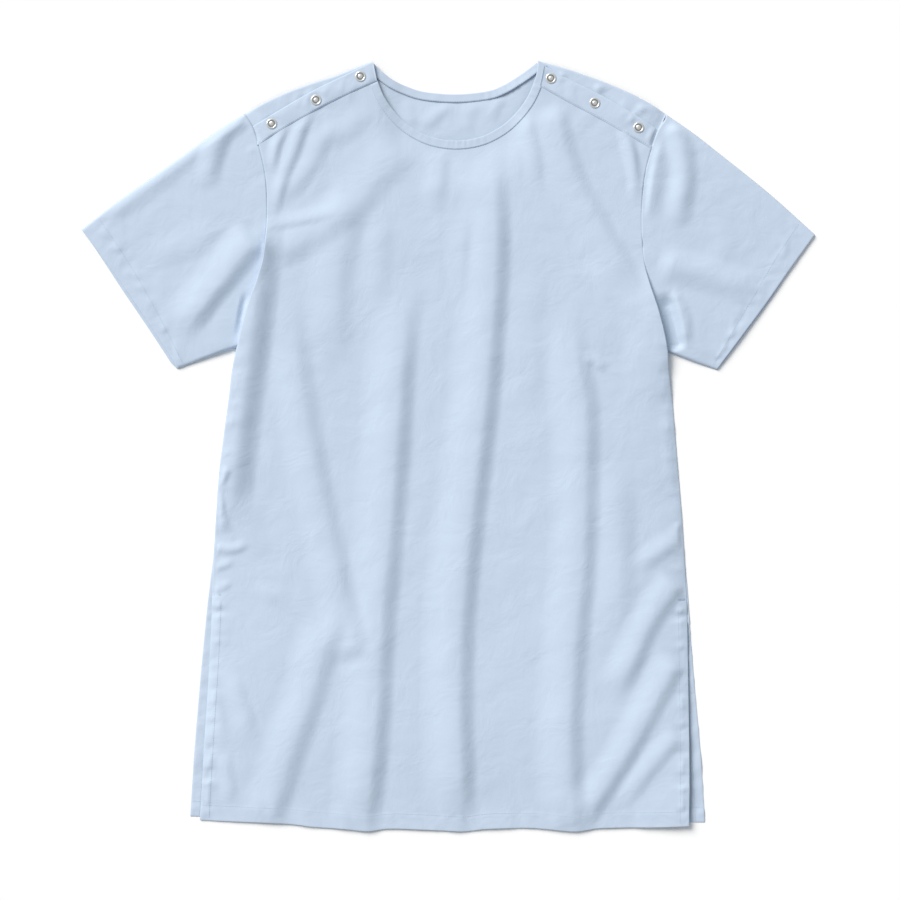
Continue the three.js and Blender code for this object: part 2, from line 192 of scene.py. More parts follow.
def planSize(piece):
    p = np.array([v.co[:] for v in piece.data.vertices])
    return p[:, 0].max() - p[:, 0].min(), p[:, 1].max() - p[:, 1].min()


def clothArea(piece):
    return sum(f.area for f in piece.data.polygons)


def asCloth(piece, held="laid", doubled=False):
    width, length = planSize(piece)
    area = clothArea(piece)
    if doubled and held == "laid":
        width = width * 2   # a tube is cut twice as wide as it lies
    elif doubled:
        area = area / 2
    box = width * length
    if area > box or area < 0.4 * box:
        # a narrow strip: as long as it lies, and as wide as its cloth allows
        length = max(length, width, math.sqrt(area))
        width = max(area / length / 0.95, 0.0102)


def band(inner, outer, top, thick, across):
    # a folded strip of cloth between two lines, with rounded long edges; top gives the height at x, y
    count = len(inner)
    w = (1 - np.cos(np.linspace(0, math.pi, across))) / 2
    width = np.linalg.norm(outer - inner, axis=1)[:, None]
    w = w[None, :]
    plan = inner[:, None] + (outer - inner)[:, None] * w[..., None]
    edge = np.minimum(w, 1 - w) * width
    half = thick / 2
    lift = half * quarterRound(edge, half * 1.6)
    middle = top(plan[..., 0], plan[..., 1]) - half
    upper = np.dstack([plan, middle + lift])
    lower = np.dstack([plan, middle - lift])[:, ::-1][:, 1:-1]
    points = np.concatenate([upper, lower], axis=1)
    cols = points.shape[1]
    faces = gridFaces(count, cols, closed=True).tolist()
    faces.append(list(range(cols)))
    faces.append([(count - 1) * cols + i for i in range(cols)][::-1])
    return points.reshape(-1, 3), faces


def facingUp(points, faces):
    # turns every face over if the sheet looks down
    p = np.asarray(points)
    total = 0
    for f in faces[: max(1, len(faces) // 2)]:
        a, b, c = p[f[0]], p[f[1]], p[f[2]]
        total += (b[0] - a[0]) * (c[1] - a[1]) - (b[1] - a[1]) * (c[0] - a[0])
    return faces if total >= 0 else [f[::-1] for f in faces]


# Outlines, in millimetres; a list without sides is the same on both.

side = {"left": 1, "right": -1}

hemFront = smoothLine([(-335, -508), (-272, -510), (-232, -511), (-205, -513), (-178, -516), (-140, -518),
                       (-110, -520.5), (-78, -517), (-43, -517.5), (-2, -519), (25, -519.5), (52, -516), (106, -514),
                       (136, -515.5), (172, -518), (204, -513.5), (241, -512), (281, -511), (325, -508.5)], 120)
hemBack = smoothLine([(-348, -503), (-180, -506), (0, -507), (180, -506), (347, -504)], 40)
slitTop = -206
sideEdge = {
    "right": [(-320, -150), (-314, -49), (-308, 6), (-301, 62), (-297, 100), (-291, 131)],
    "left": [(316, -150), (312, -96), (307, -42), (302, 12), (297, 66), (292.5, 104), (290.5, 131)],
}
slitFront = {
    "right": [(-335, -508), (-331, -420), (-326, -330), (-322.5, -250), (-321.5, -206)],
    "left": [(325, -508.5), (325, -440), (323.5, -360), (321.5, -280), (319.5, -206)],
}
slitBack = {
    "right": [(-348, -503), (-344, -427), (-339, -355), (-334, -290), (-328, -222), (-324, -185)],
    "left": [(347, -504), (343, -440), (337, -374), (330.5, -310), (325, -250), (320.5, -190)],
}
armhole = [(290.5, 131), (285, 158), (276, 190), (265, 222), (257, 252), (253.3, 290), (252.6, 325), (255.6, 365),
           (264.6, 404.4), (273.5, 430), (285, 447)]
shoulderEdge = {
    "right": [(-285, 447), (-261, 460), (-229, 475.5), (-196, 488), (-160, 500), (-113, 519)],
    "left": [(285, 452), (261, 467), (229, 483), (192, 497.5), (160, 508.5), (127, 518), (111.5, 522)],
}
neckFront = [(-105.5, 493), (-96, 471), (-80.5, 450), (-60, 432), (-33, 418.5), (0, 413.5),
             (33, 418.5), (60, 432), (80.5, 450), (96, 471), (105.5, 493)]
neckBack = [(-113, 519), (-100, 506), (-84, 494.5), (-66, 486.5), (-42, 479.5), (0, 476.6), (42, 481), (64, 489),
            (84, 501), (98, 511), (111.5, 522)]
stripSeam = {
    "right": smoothLine([(-106, 491.5), (-150, 471), (-190, 450), (-230, 427), (-264.6, 404.4)], 40),
    "left": smoothLine([(106, 491.5), (146, 469), (190, 446), (232, 423), (264.6, 404.4)], 40),
}
stripFree = {
    "right": smoothLine([(-111.5, 518), (-150, 499), (-192, 478), (-236, 452), (-271.5, 430)], 40),
    "left": smoothLine([(111, 519.5), (150, 498.5), (196, 476), (238, 453), (272, 431)], 40),
}
cuff = {"right": [(-503, 288.5), (-453, 222.5), (-422, 179), (-388, 129), (-370.5, 102)],
        "left": [(487.3, 292), (455, 246.5), (423, 199.5), (390, 154), (356.4, 108)]}
sleeveTop = {"right": [(-285, 447), (-325, 421.5), (-390, 373.5), (-456, 326), (-503, 288.5)],
             "left": [(285, 452), (322, 427), (358, 399.5), (426, 346), (487.3, 292)]}
sleeveBottom = {"right": [(-291, 131), (-325, 119), (-370.5, 102)],
                "left": [(290.5, 131), (324, 118.5), (356.4, 108)]}


def mirrorTo(which, points):
    return [(side[which] * x, y) for x, y in points]


def smoothWhole(*parts):
    # one even line through several, with the corners between them kept
    runs = [smoothLine(p, 60) if len(p) > 2 else np.array(p, float) for p in parts]
    return onLine(np.vstack(runs), np.linspace(0, 1, 160))


armholeLine = {s: smoothLine(mirrorTo(s, armhole), 90) for s in side}
neckLine = smoothLine(neckFront, 120)
sideLine = {s: smoothWhole(slitFront[s], [slitFront[s][-1]] + sideEdge[s]) for s in side}
backSideLine = {s: smoothWhole(slitBack[s], sideEdge[s]) for s in side}
shoulderLine = {s: smoothLine(shoulderEdge[s], 40) for s in side}
backNeckLine = smoothLine(neckBack, 90)
hemDepth, slitHemDepth = 20, 12

# The front cloth.

level = {
    "front": 9.2,       # the front cloth, over the room inside
    "frontEdge": 1.5,   # where it lies on the back along the side slits
    "seam": 7.6,        # at the armhole seams
    "back": 0.5,
    "strip": 10.8,
    "underlap": 6.3,
}

def fold(path, height, left, right, fade, kind="body"):
    # a soft ridge that reaches so far to the left and right of its path, falls off more steeply on the right,
    # and dies out over the given shares at its start and end; the kind says which edges quieten it
    return {"line": smoothLine(path, 22), "height": height, "left": left, "right": right, "fade": fade, "kind": kind}


folds = [
    fold([(-245, 312), (-251, 245), (-260, 150), (-274, 37), (-284, -62), (-293, -150)],
         11.6, 62, 31, (0.1, 0.3), "side"),
    fold([(272, 262), (284, 215), (293, 165), (298, 110), (301, 50)], 7.5, 66, 16, (0.3, 0.4), "side"),
    fold([(-216, 215), (-210, 179), (-198, 88), (-176, -32), (-147, -159), (-122, -268), (-116, -290)],
         4.7, 41, 23, (0.25, 0.05)),
    fold([(-140, -215), (-152, -244), (-173, -321), (-207, -428), (-240, -530)], 5.1, 44, 24, (0.2, 0.14)),
    fold([(-44, 243), (-60, 124), (-66, 12), (-75, -123), (-85, -250), (-90, -370), (-101, -500), (-103, -540)],
         6.9, 54, 23, (0.2, 0.1)),
    fold([(52, 420), (57, 394), (65, 267), (59, 154), (50, 40), (36, -87), (24, -214), (21, -334), (27, -496),
          (28, -540)], 7.3, 54, 23, (0.15, 0.1)),
    fold([(160, 200), (165, 170), (176, 113), (187, 57), (188, -28), (186, -155), (176, -261), (170, -389),
          (176, -494), (178, -540)], 6.2, 49, 23, (0.15, 0.1)),
    fold([(206, 100), (190, 112), (172, 118)], 1.6, 16, 8, (0.35, 0.3)),
    fold([(228, 5), (234, -35), (238, -120), (239, -190), (231, -275)], 3.2, 37, 26, (0.35, 0.35)),
    fold([(318, -120), (305, -130), (271, -154), (250, -175)], 2.6, 22, 15, (0.1, 0.4), "free"),
    fold([(316, -185), (299, -204), (272, -246), (250, -296), (220, -352)], 5.1, 34, 19, (0.08, 0.35), "free"),
    fold([(318, -285), (307, -303), (273, -366), (238, -430), (204, -483), (180, -530)],
         5.0, 34, 19, (0.08, 0.2), "free"),
    fold([(316, -390), (304, -401), (259, -458), (235, -495)], 2.9, 22, 15, (0.1, 0.4), "free"),
    fold([(-222, 440), (-228, 425), (-237, 400), (-246, 350)], 3.0, 15, 10, (0.15, 0.4)),
    fold([(-190, 456), (-196, 444), (-204, 420), (-214, 389), (-226, 361), (-246, 290)], 3.3, 18, 11, (0.12, 0.4)),
    fold([(-46, 402), (-60, 388), (-109, 340), (-136, 290), (-148, 208), (-145, 90)], 3.3, 46, 26, (0.12, 0.3)),
    fold([(-120, 332), (-169, 286), (-243, 243)], 3.6, 40, 26, (0.25, 0.15)),
    fold([(-145, 314), (-190, 303), (-256, 290)], 1.8, 18, 9, (0.4, 0.1)),
    fold([(136, 468), (144, 445), (162, 382), (195, 317), (227, 262), (262, 214)], 4.9, 41, 20, (0.1, 0.2)),
    fold([(232, 432), (239, 412), (249, 370), (254, 320)], 4.0, 16, 10, (0.05, 0.4)),
    fold([(-12, 405), (-14, 373), (-20, 300)], 2.0, 26, 15, (0.2, 0.5)),
    fold([(20, 330), (16, 279), (12, 180)], 2.0, 24, 14, (0.4, 0.5)),
    fold([(96, 455), (112, 400), (118, 330)], 2.0, 20, 12, (0.2, 0.5)),
    fold([(112, 250), (116, 150), (112, 20)], 1.6, 40, 24, (0.4, 0.4)),
    fold([(-312, -55), (-306, -90), (-298, -122)], 2.3, 12, 8, (0.3, 0.3), "free"),
    fold([(-268, -134), (-290, -145), (-318, -146)], 2.1, 12, 8, (0.35, 0.1), "free"),
    fold([(-290, -160), (-316, -172)], 1.2, 9, 6, (0.4, 0.1), "free"),
    fold([(-292, -190), (-318, -201)], 1.5, 10, 7, (0.4, 0.1), "free"),
    fold([(-320, -300), (-312, -345), (-297, -405)], 2.1, 16, 13, (0.25, 0.35)),
    fold([(-290, -300), (-274, -350), (-254, -409)], 1.8, 20, 14, (0.3, 0.4)),
    fold([(-300, -414), (-292, -450), (-288, -486)], 1.8, 18, 12, (0.3, 0.3)),
    fold([(-296, -30), (-306, -50), (-316, -58)], 2.3, 10, 8, (0.3, 0.1), "free"),
    fold([(300, -105), (318, -98)], 1.8, 10, 8, (0.4, 0.1), "free"),
    fold([(-250, -60), (-262, -110), (-240, -150)], 1.3, 26, 22, (0.4, 0.4)),
    fold([(-262, -180), (-236, -196), (-214, -198)], 1.3, 20, 14, (0.4, 0.4)),
    fold([(-160, 440), (-176, 400), (-206, 350), (-244, 318)], 2.3, 24, 16, (0.25, 0.35)),
    fold([(-100, 455), (-140, 420), (-190, 396)], 1.6, 24, 18, (0.3, 0.4)),
    fold([(180, 260), (214, 222), (262, 176)], 1.8, 24, 18, (0.35, 0.3)),
    fold([(-86, 330), (-92, 250), (-94, 170)], 1.7, 26, 20, (0.35, 0.4)),
    fold([(300, 60), (306, -10), (309, -60)], 2.1, 20, 12, (0.3, 0.3)),
]


def foldHeight(ridge, x, y):
    line = ridge["line"]
    margin = 60
    low, high = line.min(0) - margin, line.max(0) + margin
    near = (x > low[0]) & (x < high[0]) & (y > low[1]) & (y < high[1])
    out = np.zeros(np.shape(x))
    away, share = fromLine(line, x[near], y[near])
    crest = -0.45 * ridge["right"]
    off = away - crest
    reach = np.where(off < 0, ridge["left"], ridge["right"] * 1.15)
    shape = 0.5 + 0.5 * np.cos(np.pi * np.clip(np.abs(off) / reach, 0, 1))
    start, end = ridge["fade"]
    grow = ease(0, start, share) if start else 1.0
    die = 1 - ease(1 - end, 1, share) if end else 1.0
    out[near] = ridge["height"] * shape * grow * die
    return out


def foldSum(ridges, x, y, kind="body"):
    return sum(foldHeight(f, x, y) for f in ridges if f["kind"] == kind)


def edgeDistances(x, y):
    # how far in from the side edges, armholes, neck and shoulder seams, and the shares along some of them
    out = {}
    for s in side:
        out[s + "Side"], _ = fromLine(sideLine[s], x, y)
        out[s + "Armhole"], out[s + "Along"] = fromLine(armholeLine[s], x, y)
        out[s + "Seam"], out[s + "SeamAlong"] = fromLine(stripSeam[s], x, y)
    out["neck"], out["neckAlong"] = fromLine(neckLine, x, y)
    return {k: (v if "Along" in k else np.abs(v)) for k, v in out.items()}


def hemStep(inward, depth):
    # one over a turned hem, none past its stitches
    return 1 - ease(depth - 1, depth + 1, inward)


def frontHeight(x, y):
    x, y = np.asarray(x, float), np.asarray(y, float)
    d = edgeDistances(x, y)
    hem = y - np.interp(x, hemFront[:, 0], hemFront[:, 1])
    sideGap = np.minimum(d["leftSide"], d["rightSide"])
    armGap = np.minimum(d["leftArmhole"], d["rightArmhole"])
    # the hem's corner on the wearer's left stands off the back; on the right the side is rolled full
    lifted = 2.0 * (1 - ease(-250, -212, y)) + 4.6 * (1 - ease(-500, -240, y))
    rolled = ease(-215, -130, y) * (1 - ease(-200, -110, x))
    low = level["frontEdge"] + lifted * ease(225, 312, x) + 3.4 * rolled
    full, reach = 0.28 * (1 - rolled), 48 + 14 * rolled
    rise = full * (1 - np.exp(-sideGap / 7)) + (1 - full) * (1 - np.exp(-sideGap / reach))
    body = low + (level["front"] - low) * rise
    body = low + (body - low) * (0.2 + 0.8 * ease(-10, 130, hem))
    upper = level["seam"] + (level["front"] - level["seam"]) * (1 - np.exp(-armGap / 14))
    z = body + (np.maximum(upper, body) - body) * ease(95, 180, y)
    freePuff = foldSum(folds, x, y, "free") * ease(-1, 8, np.minimum(sideGap, armGap))
    calm = np.minimum.reduce([ease(-4, 30, sideGap), ease(-6, 22, armGap), ease(-8, 26, d["neck"]),
                              ease(-8, 14, d["leftSeam"]), ease(-8, 14, d["rightSeam"])])
    neckDip = (1 - ease(0, 75, d["neck"])) * (1 - ease(68, 108, np.abs(x)))
    z = z + (3.4 - z) * neckDip
    z = z + foldSum(folds, x, y) * calm + freePuff + foldSum(folds, x, y, "side")
    z = z + 0.55 * unevenness(x, y, 95, 3) * calm + 0.55 * unevenness(x, y, 38, 4) * calm
    z = z + 0.15 * unevenness(x, y, 15, 5)
    # ripples along the sewn edges, stronger beside the slits than up the side seams
    slitPull = 0.7 + 1.6 * (1 - ease(-220, -190, y))
    z = z + 0.8 * pucker(x + hem * 0.3, hem, 17, 26, 11) + 0.7 * pucker(x + hem * 0.5, hem - 18, 6, 6, 12)
    z = z + 0.8 * pucker(y - sideGap * 0.4, sideGap, 15, 18, 13) + slitPull * pucker(y, sideGap - 9, 8, 6, 14)
    pastNeck = ease(375, 392, y) * ease(99, 112, np.abs(x))
    for i, s in enumerate(side):
        seamGap = d[s + "Seam"]
        z = z + 0.6 * pucker(d[s + "Along"] * 340, d[s + "Armhole"], 15, 16, 21 + i)
        z = z + 0.62 * np.exp(-seamGap / 9) * pastNeck * ease(12, 34, armGap)
        z = z + 0.9 * pucker(d[s + "SeamAlong"] * 180 + seamGap * 0.3 * side[s], seamGap, 15, 20, 31 + i)
    z = z + 0.3 * pucker(d["neckAlong"] * 320, d["neck"] - 12, 13, 14, 41)
    # the turned hems are two cloths more
    z = z + 0.35 * hemStep(hem, hemDepth) + 0.3 * hemStep(sideGap, slitHemDepth) * (y < slitTop)
    return np.maximum(z, low + 0.2 * ease(0, 10, sideGap))


def turnUnder(grid, edge, depth, drop):
    # adds the rounded edge and the turned-in part along one border of a grid; edge is "low", "left" or "right"
    g = {"low": grid, "left": grid.transpose(1, 0, 2), "right": grid.transpose(1, 0, 2)[::-1]}[edge]
    out = g[0] - g[1]
    out[:, 2] = 0
    out /= np.maximum(np.linalg.norm(out, axis=1, keepdims=True), 1e-9)
    rows = []
    profile = [(-depth, drop * 1.15), (-depth * 0.5, drop * 1.1), (-1.2, drop),
               (0.15, drop * 0.85), (0.4, drop * 0.45)]
    for reach, down in profile:
        row = g[0] + out * reach
        row[:, 2] = np.maximum(g[0][:, 2] - down, 0.15)
        rows.append(row)
    g = np.concatenate([np.array(rows), g], axis=0)
    return {"low": g, "left": g.transpose(1, 0, 2), "right": g[::-1].transpose(1, 0, 2)}[edge]


def denseEnds(middle, ends, share):
    # shares from none to one, closer together over the first and last share
    first, last = np.linspace(0, share, ends), np.linspace(1 - share, 1, ends)
    return np.concatenate([first[:-1], np.linspace(share, 1 - share, middle), last[1:]])


# Finishes.

print("gown: mixing the finishes")
clothLook = {
    "colour": (0.510, 0.603, 0.725),
    "shade": (0.472, 0.566, 0.690),
    "roughness": 0.82,
    "sheen": 0.18,
    "threadsPerMetre": 2300,
    "weaveDepth": 0.00006,
    "slub": 0.3,
    "creaseSize": 24.0,
    "creaseDepth": {"blueCotton": 0.0042, "blueCottonBand": 0.0018},
    "clouding": 0.45,   # how far the shade colour mixes in
    "gapShade": 0.16,   # and how far painted shade darkens the gaps between threads
}
threadLook = {"colour": (0.49, 0.59, 0.735), "roughness": 0.55, "twistScale": 900, "twistDepth": 0.00008}
metalLook = {"scratchScale": 700, "scratchDepth": 0.00004, "roughnessSpread": 0.14}


def newGroup(name, inputs, outputs):
    group = bpy.data.node_groups.new(name, "ShaderNodeTree")
    for socket, value in inputs.items():
        group.interface.new_socket(socket, in_out="INPUT", socket_type="NodeSocketFloat").default_value = value
    for socket in outputs:
        group.interface.new_socket(socket, in_out="OUTPUT", socket_type="NodeSocketFloat")
    return group, group.nodes.new("NodeGroupInput"), group.nodes.new("NodeGroupOutput")


def mathNode(tree, operation, a, b=None, clamp=False):
    node = tree.nodes.new("ShaderNodeMath")
    node.operation = operation
    node.use_clamp = clamp
    for i, value in enumerate((a, b)):
        if value is None:
            continue
        if isinstance(value, (int, float)):
            node.inputs[i].default_value = value
        else:
            tree.links.new(value, node.inputs[i])
    return node.outputs[0]


def setInputs(node, values):
    for socket, value in values.items():
        node.inputs[socket].default_value = value


def placed(tree, kind, values=None):
    # a node that reads the place on the piece itself
    place = tree.nodes.new("ShaderNodeTexCoord")
    node = tree.nodes.new(kind)
    setInputs(node, values or {})
    tree.links.new(place.outputs["Object"], node.inputs["Vector"])
    return node


def buildPlainWeave():
    # over and under threads of a plain weave, as a height and as a mask of the gaps
    settings = {"Threads": clothLook["threadsPerMetre"], "Slub": clothLook["slub"]}
    t, start, end = newGroup("plainWeave", settings, ("Height", "Gap"))
    wobble = placed(t, "ShaderNodeTexNoise", {"Scale": 60, "Detail": 1})
    split = placed(t, "ShaderNodeSeparateXYZ")
    half = mathNode(t, "MULTIPLY", start.outputs["Threads"], math.pi)
    sway = mathNode(t, "MULTIPLY", wobble.outputs["Fac"], start.outputs["Slub"])
    across = mathNode(t, "ADD", mathNode(t, "MULTIPLY", split.outputs["X"], half), sway)
    along = mathNode(t, "ADD", mathNode(t, "MULTIPLY", split.outputs["Y"], half), sway)
    sx, sy = mathNode(t, "SINE", across), mathNode(t, "SINE", along)
    over = mathNode(t, "MULTIPLY", sx, sy)
    height = mathNode(t, "ADD", mathNode(t, "MULTIPLY", over, 0.5), 0.5)
    gap = mathNode(t, "MULTIPLY", mathNode(t, "ABSOLUTE", sx), mathNode(t, "ABSOLUTE", sy))
    t.links.new(height, end.inputs["Height"])
    t.links.new(gap, end.inputs["Gap"])
    return t


def buildCrumple():
    # soft creases left by wear and washing, as a height
    t, start, end = newGroup("softCrumple", {"Size": clothLook["creaseSize"]}, ("Height", "Tone"))
    big = placed(t, "ShaderNodeTexNoise", {"Detail": 4, "Roughness": 0.55, "Distortion": 0.6})
    t.links.new(start.outputs["Size"], big.inputs["Scale"])
    cloud = placed(t, "ShaderNodeTexNoise", {"Scale": 5, "Detail": 3})
    t.links.new(big.outputs["Fac"], end.inputs["Height"])
    t.links.new(cloud.outputs["Fac"], end.inputs["Tone"])
    return t


plainWeave = buildPlainWeave()
softCrumple = buildCrumple()


def groupNode(tree, group):
    node = tree.nodes.new("ShaderNodeGroup")
    node.node_tree = group
    return node


def bumpNode(tree, height, distance, strength, after=None):
    node = tree.nodes.new("ShaderNodeBump")
    setInputs(node, {"Distance": distance, "Strength": strength})
    tree.links.new(height, node.inputs["Height"])
    if after is not None:
        tree.links.new(after, node.inputs["Normal"])
    return node.outputs["Normal"]


def mixColour(tree, factor, a, b):
    node = tree.nodes.new("ShaderNodeMix")
    node.data_type = "RGBA"
    tree.links.new(factor, node.inputs["Factor"])
    for socket, value in ((node.inputs["A"], a), (node.inputs["B"], b)):
        if isinstance(value, tuple):
            socket.default_value = (*value, 1)
        else:
            tree.links.new(value, socket)
    return node.outputs["Result"]


def newMaterial(name):
    material = bpy.data.materials.new(name)
    material.use_nodes = True
    shader = material.node_tree.nodes["Principled BSDF"]
    return material, material.node_tree, shader


def makeCloth(name, tint):
    material, tree, shader = newMaterial(name)
    weave, creases = groupNode(tree, plainWeave), groupNode(tree, softCrumple)
    light = tuple(c * tint for c in clothLook["colour"])
    dark = tuple(c * tint for c in clothLook["shade"])
    tone = mathNode(tree, "MULTIPLY", creases.outputs["Tone"], clothLook["clouding"])
    base = mixColour(tree, tone, light, dark)
    # painted shade: the gaps between the threads are darkened towards the cloth's darker tone
    gapShade = clothLook["gapShade"]
    threadGapShade = mathNode(tree, "SUBTRACT", gapShade, mathNode(tree, "MULTIPLY", weave.outputs["Gap"], gapShade), True)
    base = mixColour(tree, threadGapShade, base, tuple(c * 0.8 for c in dark))
    tree.links.new(base, shader.inputs["Base Color"])
    setInputs(shader, {"Roughness": clothLook["roughness"], "Sheen Weight": clothLook["sheen"],
                       "Sheen Roughness": 0.5, "Specular IOR Level": 0.25})
    normal = bumpNode(tree, creases.outputs["Height"], clothLook["creaseDepth"][name], 0.35)
    normal = bumpNode(tree, weave.outputs["Height"], clothLook["weaveDepth"], 0.5, normal)
    tree.links.new(normal, shader.inputs["Normal"])
    return material


def shadeSurface(tree, shader, texture, colour, share, depth, strength):
    # the texture's dips are a darker share of the colour, and it roughens the surface
    base = mixColour(tree, texture.outputs["Fac"], colour, tuple(c * share for c in colour))
    tree.links.new(base, shader.inputs["Base Color"])
    tree.links.new(bumpNode(tree, texture.outputs["Fac"], depth, strength), shader.inputs["Normal"])


def makeThread(name):
    material, tree, shader = newMaterial(name)
    twist = placed(tree, "ShaderNodeTexWave", {"Scale": threadLook["twistScale"]})
    twist.bands_direction = "DIAGONAL"
    shadeSurface(tree, shader, twist, threadLook["colour"], 0.85, threadLook["twistDepth"], 0.5)
    setInputs(shader, {"Roughness": threadLook["roughness"]})
    return material


def makeMetal(name, colour, roughness, metal):
    material, tree, shader = newMaterial(name)
    wear = placed(tree, "ShaderNodeTexNoise", {"Scale": metalLook["scratchScale"], "Detail": 5})
    shadeSurface(tree, shader, wear, colour, 0.88, metalLook["scratchDepth"], 0.15)
    setInputs(shader, {"Metallic": metal})
    spread = metalLook["roughnessSpread"]
    rough = mathNode(tree, "ADD", mathNode(tree, "MULTIPLY", wear.outputs["Fac"], spread), roughness - spread / 2)
    tree.links.new(rough, shader.inputs["Roughness"])
    return material


cotton = makeCloth("blueCotton", 1.0)
cottonBand = makeCloth("blueCottonBand", 0.975)
sewingThread = makeThread("blueThread")
nickel = makeMetal("polishedNickel", (0.79, 0.79, 0.77), 0.3, 0.68)
# a darker copy of the nickel that paints shade into the snap caps' grooves
grooveShadeNickel = makeMetal("shadedNickel", (0.33, 0.33, 0.31), 0.4, 0.8)

# The front cloth is laid out as one sheet and cut along its folds.

print("gown: laying out the front cloth")
frontTop = np.vstack([stripSeam["right"][::-1] + (-0.5, 5), smoothLine(neckFront, 80) + (0, -1.5),
                      stripSeam["left"] + (0.5, 5)])
stripFoot = 408   # how far up the armhole the front cloth goes before the strip takes over


def upToStrip(s):
    arm = armholeLine[s]
    return np.vstack([sideLine[s], arm[arm[:, 1] < stripFoot]])


# Where the moving cloth bends: the corner's fold runs from the armhole to the neck, the skirt's straight across.
# "bend" is where the bend starts and ends, past the fold, and "at" how high the cloth lies there.
cornerFold = {"arm": (264.2, 404), "neck": (45, 422.2), "bend": (-9, 5), "at": 11.3}
cornerFold["run"], cornerFold["fall"] = np.subtract(cornerFold["arm"], cornerFold["neck"]).tolist()
cornerFold["length"] = math.hypot(cornerFold["run"], cornerFold["fall"])
skirtFold = {"y": -208, "bend": (8, -26), "at": 10.5, "cut": -192}


def cornerHeight(x, y):
    # how far up past the corner's fold a point is
    ax, ay = cornerFold["arm"]
    return ((np.abs(x) - ax) * cornerFold["fall"] - (y - ay) * cornerFold["run"]) / -cornerFold["length"]


across = denseEnds(226, 10, 0.028)
up = denseEnds(316, 12, 0.03)
plan = patch(hemFront, frontTop, upToStrip("right"), upToStrip("left"), across, up)
grid = np.dstack([plan, frontHeight(plan[..., 0], plan[..., 1])])
sleevePit = 131      # where the side seam meets the armhole
hemThickness = 0.8


def seamDrop(edge):
    # the side seam's wall goes down to the back, the armhole's to the sleeve; a slit's edge is only two cloths thick
    y, z = edge[:, 1], edge[:, 2]
    wall = np.where(y > sleevePit, z - 2.2 - 4.4 * ease(sleevePit, 215, y), z - 0.6)
    return hemThickness + (np.maximum(wall, hemThickness) - hemThickness) * ease(slitTop, slitTop + 10, y)


grid = turnUnder(grid, "left", slitHemDepth, seamDrop(grid[:, 0]))
grid = turnUnder(grid, "right", slitHemDepth, seamDrop(grid[:, -1]))
grid = turnUnder(grid, "low", hemDepth, hemThickness)
rows, cols = grid.shape[:2]
frontPoints = grid.reshape(-1, 3)
frontFaces = gridFaces(rows, cols)
frontNormals = vertexNormals(frontPoints, frontFaces)
middle = frontPoints[frontFaces].mean(1)
# the cuts lie a little to the still side of the folds, so that each moving piece holds the whole bend
bends = cornerHeight(middle[:, 0], middle[:, 1]) > -16
isCorner = {s: bends & (middle[:, 0] * side[s] > 36) for s in side}
isSkirt = middle[:, 1] < skirtFold["cut"]
isBody = ~(isCorner["left"] | isCorner["right"] | isSkirt)


def frontPiece(name, mask):
    return makePiece(name, frontPoints, frontFaces[mask], cotton, frontNormals)


def bendCorner(piece):
    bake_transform(piece)


def bendSkirt(piece):
    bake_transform(piece)


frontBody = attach(frontPiece("frontBody", isBody), "gown")
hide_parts("front_panel")
asCloth(frontBody)
for s in side:
    corner = frontPiece(s + "FrontCorner", isCorner[s])
    bendCorner(corner)
    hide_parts(s + "_front_corner")
    asCloth(corner)
skirt = frontPiece("frontSkirt", isSkirt)
bendSkirt(skirt)
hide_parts("front_skirt")
asCloth(skirt)

# The back cloth.

print("gown: laying out the back cloth")


def neckRise(x, y):
    # the back's neck corners lie up on the turned shoulders
    return 3.6 * ease(58, 100, np.abs(x)) * ease(440, 500, y)


def backHeight(x, y):
    x, y = np.asarray(x, float), np.asarray(y, float)
    lump = 0.5 * unevenness(x, y, 70, 51) + 0.5
    z = 0.45 + 0.5 * lump * ease(-0.2, 1, lump)
    # the part seen through the neck lies a little loose
    loose = ease(330, 400, y) * (1 - ease(60, 125, np.abs(x)))
    away, _ = fromLine(backNeckLine, x, y)
    calm = ease(6, 26, np.abs(away))
    z = z + loose * calm * (1.0 + 0.8 * unevenness(x, y, 48, 52) + 0.5 * unevenness(x, y, 20, 53))
    for ridge in neckFolds:
        z = z + foldHeight(ridge, x, y) * calm
    hem = y - np.interp(x, hemBack[:, 0], hemBack[:, 1])
    edge = np.minimum.reduce([np.abs(fromLine(backSideLine[s], x, y)[0]) for s in side])
    z = z + 0.25 * hemStep(hem, hemDepth) + 0.2 * hemStep(edge, slitHemDepth) * (y < slitTop)
    z = z + (0.5 * pucker(y, edge, 11, 13, 54) + 1.2 * pucker(y, edge - 4, 7, 5, 56)) * (y < slitTop)
    z = z + 0.2 * pucker(x, hem, 16, 20, 55)
    return np.maximum(z, 0.3) + neckRise(x, y) * (np.abs(x) < 135)


neckFolds = [
    fold([(-2, 466), (-14, 451), (-34, 434), (-50, 424)], 1.7, 16, 10, (0.15, 0.3)),
    fold([(30, 468), (24, 450), (20, 425)], 1.2, 18, 12, (0.2, 0.2)),
    fold([(-60, 470), (-58, 452), (-48, 436)], 1.2, 14, 9, (0.2, 0.3)),
    fold([(66, 474), (58, 455), (48, 436)], 1.2, 14, 9, (0.2, 0.3)),
]


def backSide(s):
    return np.vstack([backSideLine[s], armholeLine[s]])


backTop = np.vstack([shoulderLine["right"], backNeckLine, shoulderLine["left"][::-1]])
plan = patch(hemBack, backTop, backSide("right"), backSide("left"), denseEnds(110, 8, 0.03), denseEnds(190, 8, 0.025))
grid = np.dstack([plan, backHeight(plan[..., 0], plan[..., 1])])
backThickness = 0.35
grid = turnUnder(grid, "left", 10, backThickness)
grid = turnUnder(grid, "right", 10, backThickness)
grid = turnUnder(grid, "low", hemDepth, backThickness)
backPiece = makePiece("backCloth", grid.reshape(-1, 3), gridFaces(*grid.shape[:2]), cotton)
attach(backPiece, "gown")
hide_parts("back_panel")
asCloth(backPiece)


